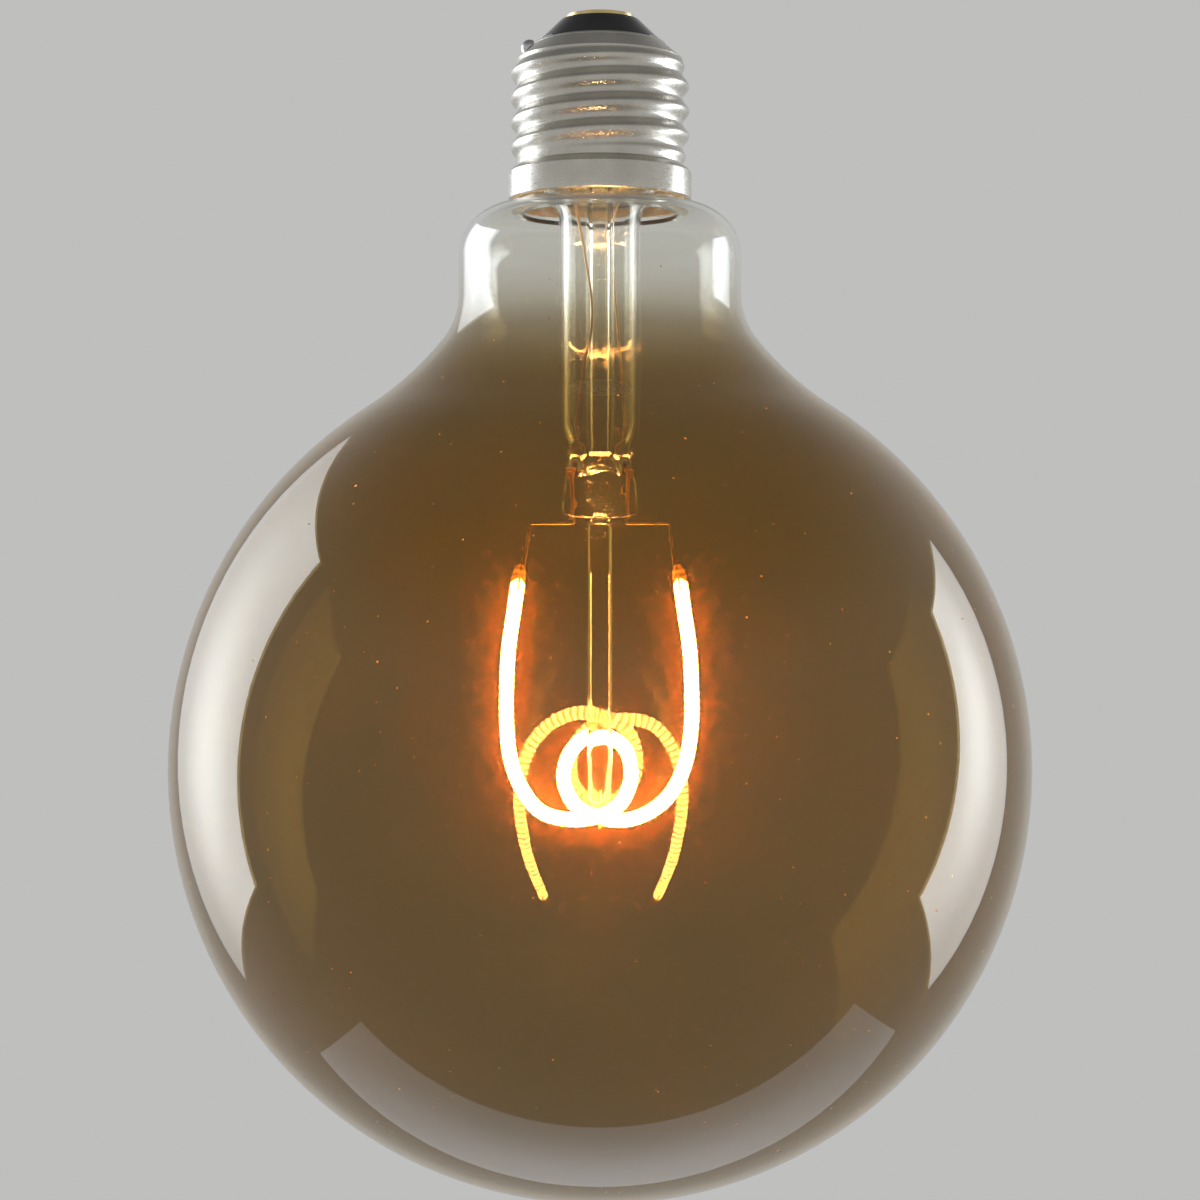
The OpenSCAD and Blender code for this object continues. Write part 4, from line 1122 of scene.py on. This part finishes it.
def build_world():
    """Pale studio: even from the floor to well above the horizon, and dimmer towards the ceiling."""
    world = bpy.data.worlds.new("studio")
    bpy.context.scene.world = world
    world.use_nodes = True
    nodes, links = world.node_tree.nodes, world.node_tree.links
    nodes.clear()
    out = nodes.new("ShaderNodeOutputWorld")
    where = nodes.new("ShaderNodeTexCoord")
    split = nodes.new("ShaderNodeSeparateXYZ")
    links.new(where.outputs["Generated"], split.inputs["Vector"])
    low, high = sin(radians(CEILING_START)), sin(radians(CEILING_END))
    brightness = ranged(nodes, links, split.outputs["Z"], low, high, PALE, CEILING)
    walls = nodes.new("ShaderNodeBackground")
    walls.inputs["Color"].default_value = WORLD_COLOUR
    links.new(brightness, walls.inputs["Strength"])
    links.new(walls.outputs["Background"], out.inputs["Surface"])


def lamp_brightness(nodes, links, shares):
    """Share of a lamp's brightness at each place on it: its own at either side, times that of its spot."""
    place = nodes.new("ShaderNodeNewGeometry")
    split = nodes.new("ShaderNodeSeparateXYZ")
    links.new(place.outputs["Parametric"], split.inputs["Vector"])
    across = ranged(nodes, links, split.outputs["X"], 0, 1, *shares)
    off_centre = nodes.new("ShaderNodeVectorMath")
    off_centre.operation = "DISTANCE"
    off_centre.inputs[1].default_value = (0.5, 0.5, 0)
    links.new(place.outputs["Parametric"], off_centre.inputs[0])
    spot = ranged(nodes, links, off_centre.outputs["Value"], *SPOT_REACH, *SPOT_SHARES)
    return combined(nodes, links, "MULTIPLY", across, spot)


def seen_share(nodes, links):
    """Share of a lamp that shows: little of it straight through the globe, and all of it elsewhere."""
    path = nodes.new("ShaderNodeLightPath")
    crossed = path.outputs["Transmission Depth"]
    unmirrored = combined(nodes, links, "LESS_THAN", path.outputs["Glossy Depth"], 0.5)
    entered = combined(nodes, links, "GREATER_THAN", crossed, 0.5)
    in_line = combined(nodes, links, "LESS_THAN", crossed, FACES_IN_LINE + 0.5)
    inside = combined(nodes, links, "MULTIPLY", entered, in_line)
    through = combined(nodes, links, "MULTIPLY", inside, unmirrored)
    return ranged(nodes, links, through, 0, 1, 1, SEEN_THROUGH)


def area_lamp(name, width, height, radiance, shares=(1, 1)):
    """Rectangular lamp that the camera doesn't see, with shares of its radiance at its two sides."""
    lamp = bpy.data.lights.new(name, "AREA")
    lamp.shape = "RECTANGLE"
    lamp.size = width * MM
    lamp.size_y = height * MM
    lamp.energy = radiance * pi * lamp.size * lamp.size_y
    lamp.use_nodes = True
    nodes, links = lamp.node_tree.nodes, lamp.node_tree.links
    nodes.clear()
    out = nodes.new("ShaderNodeOutputLight")
    glow = nodes.new("ShaderNodeEmission")
    glow.inputs["Color"].default_value = SOFT_WHITE
    brightness = lamp_brightness(nodes, links, shares)
    strength = combined(nodes, links, "MULTIPLY", brightness, seen_share(nodes, links))
    links.new(strength, glow.inputs["Strength"])
    links.new(glow.outputs["Emission"], out.inputs["Surface"])
    holder = new_object(name, lamp)
    holder.visible_camera = False
    return holder


def aim_at_globe(holder, azimuth, elevation, distance, tilt):
    """Places a lamp by its direction from the globe's centre, azimuth from +X towards +Y, facing it.

    Tilt then turns it: its foot forward, its side forward, and in its own plane.
    """
    a, e = radians(azimuth), radians(elevation)
    towards = Vector((cos(a) * cos(e), sin(a) * cos(e), sin(e)))
    holder.location = Vector((0, 0, BALL_Z * MM)) + towards * distance * MM
    turned = Euler([radians(angle) for angle in tilt], "YXZ").to_quaternion()
    holder.rotation_euler = (towards.to_track_quat("Z", "Y") @ turned).to_euler()


def build_lamps():
    """A tall softbox on either side, behind the globe, and a dim low panel under it."""
    left = area_lamp("left_softbox", width=352, height=605, radiance=5.3, shares=(0.22, 1))
    aim_at_globe(left, azimuth=150.8, elevation=0.7, distance=500, tilt=(-23.6, -10.9, 4.4))
    right = area_lamp("right_softbox", width=250, height=525, radiance=6.3, shares=(1, 0.34))
    aim_at_globe(right, azimuth=21.4, elevation=2.7, distance=500, tilt=(19.4, 35.6, -14.8))
    panel = area_lamp("low_panel", width=295, height=86, radiance=0.8)
    panel.location = Vector((10, 17, -255)) * MM
    panel.rotation_euler = (radians(180), 0, 0)
    panel.visible_transmission = False


def build_camera():
    """Level camera in front of the bulb, at the height of the globe's upper part."""
    lens = bpy.data.cameras.new("camera")
    lens.sensor_width = SENSOR
    lens.lens = CAMERA_LENS
    lens.clip_start = CAMERA_NEAR * MM
    holder = new_object("camera", lens)
    holder.location = (0, CAMERA_Y * MM, CAMERA_Z * MM)
    holder.rotation_euler = (radians(90), 0, 0)
    bpy.context.scene.camera = holder


def set_render():
    """Plain view, and light paths long enough for glass within glass."""
    scene = bpy.context.scene
    scene.view_settings.view_transform = "Standard"
    scene.cycles.max_bounces = 28
    scene.cycles.transmission_bounces = 28
    scene.cycles.glossy_bounces = 12
    scene.cycles.transparent_max_bounces = 32
    scene.cycles.sample_clamp_indirect = 80


dress_frame()
build_globe()
build_stem()
build_pump_tube()
build_rod()
build_filament()
build_inner_lead(-1, "inner_lead_left")
build_inner_lead(1, "inner_lead_right")
build_outer_leads()
build_shell()
build_floor()
build_world()
build_lamps()
build_camera()
set_render()
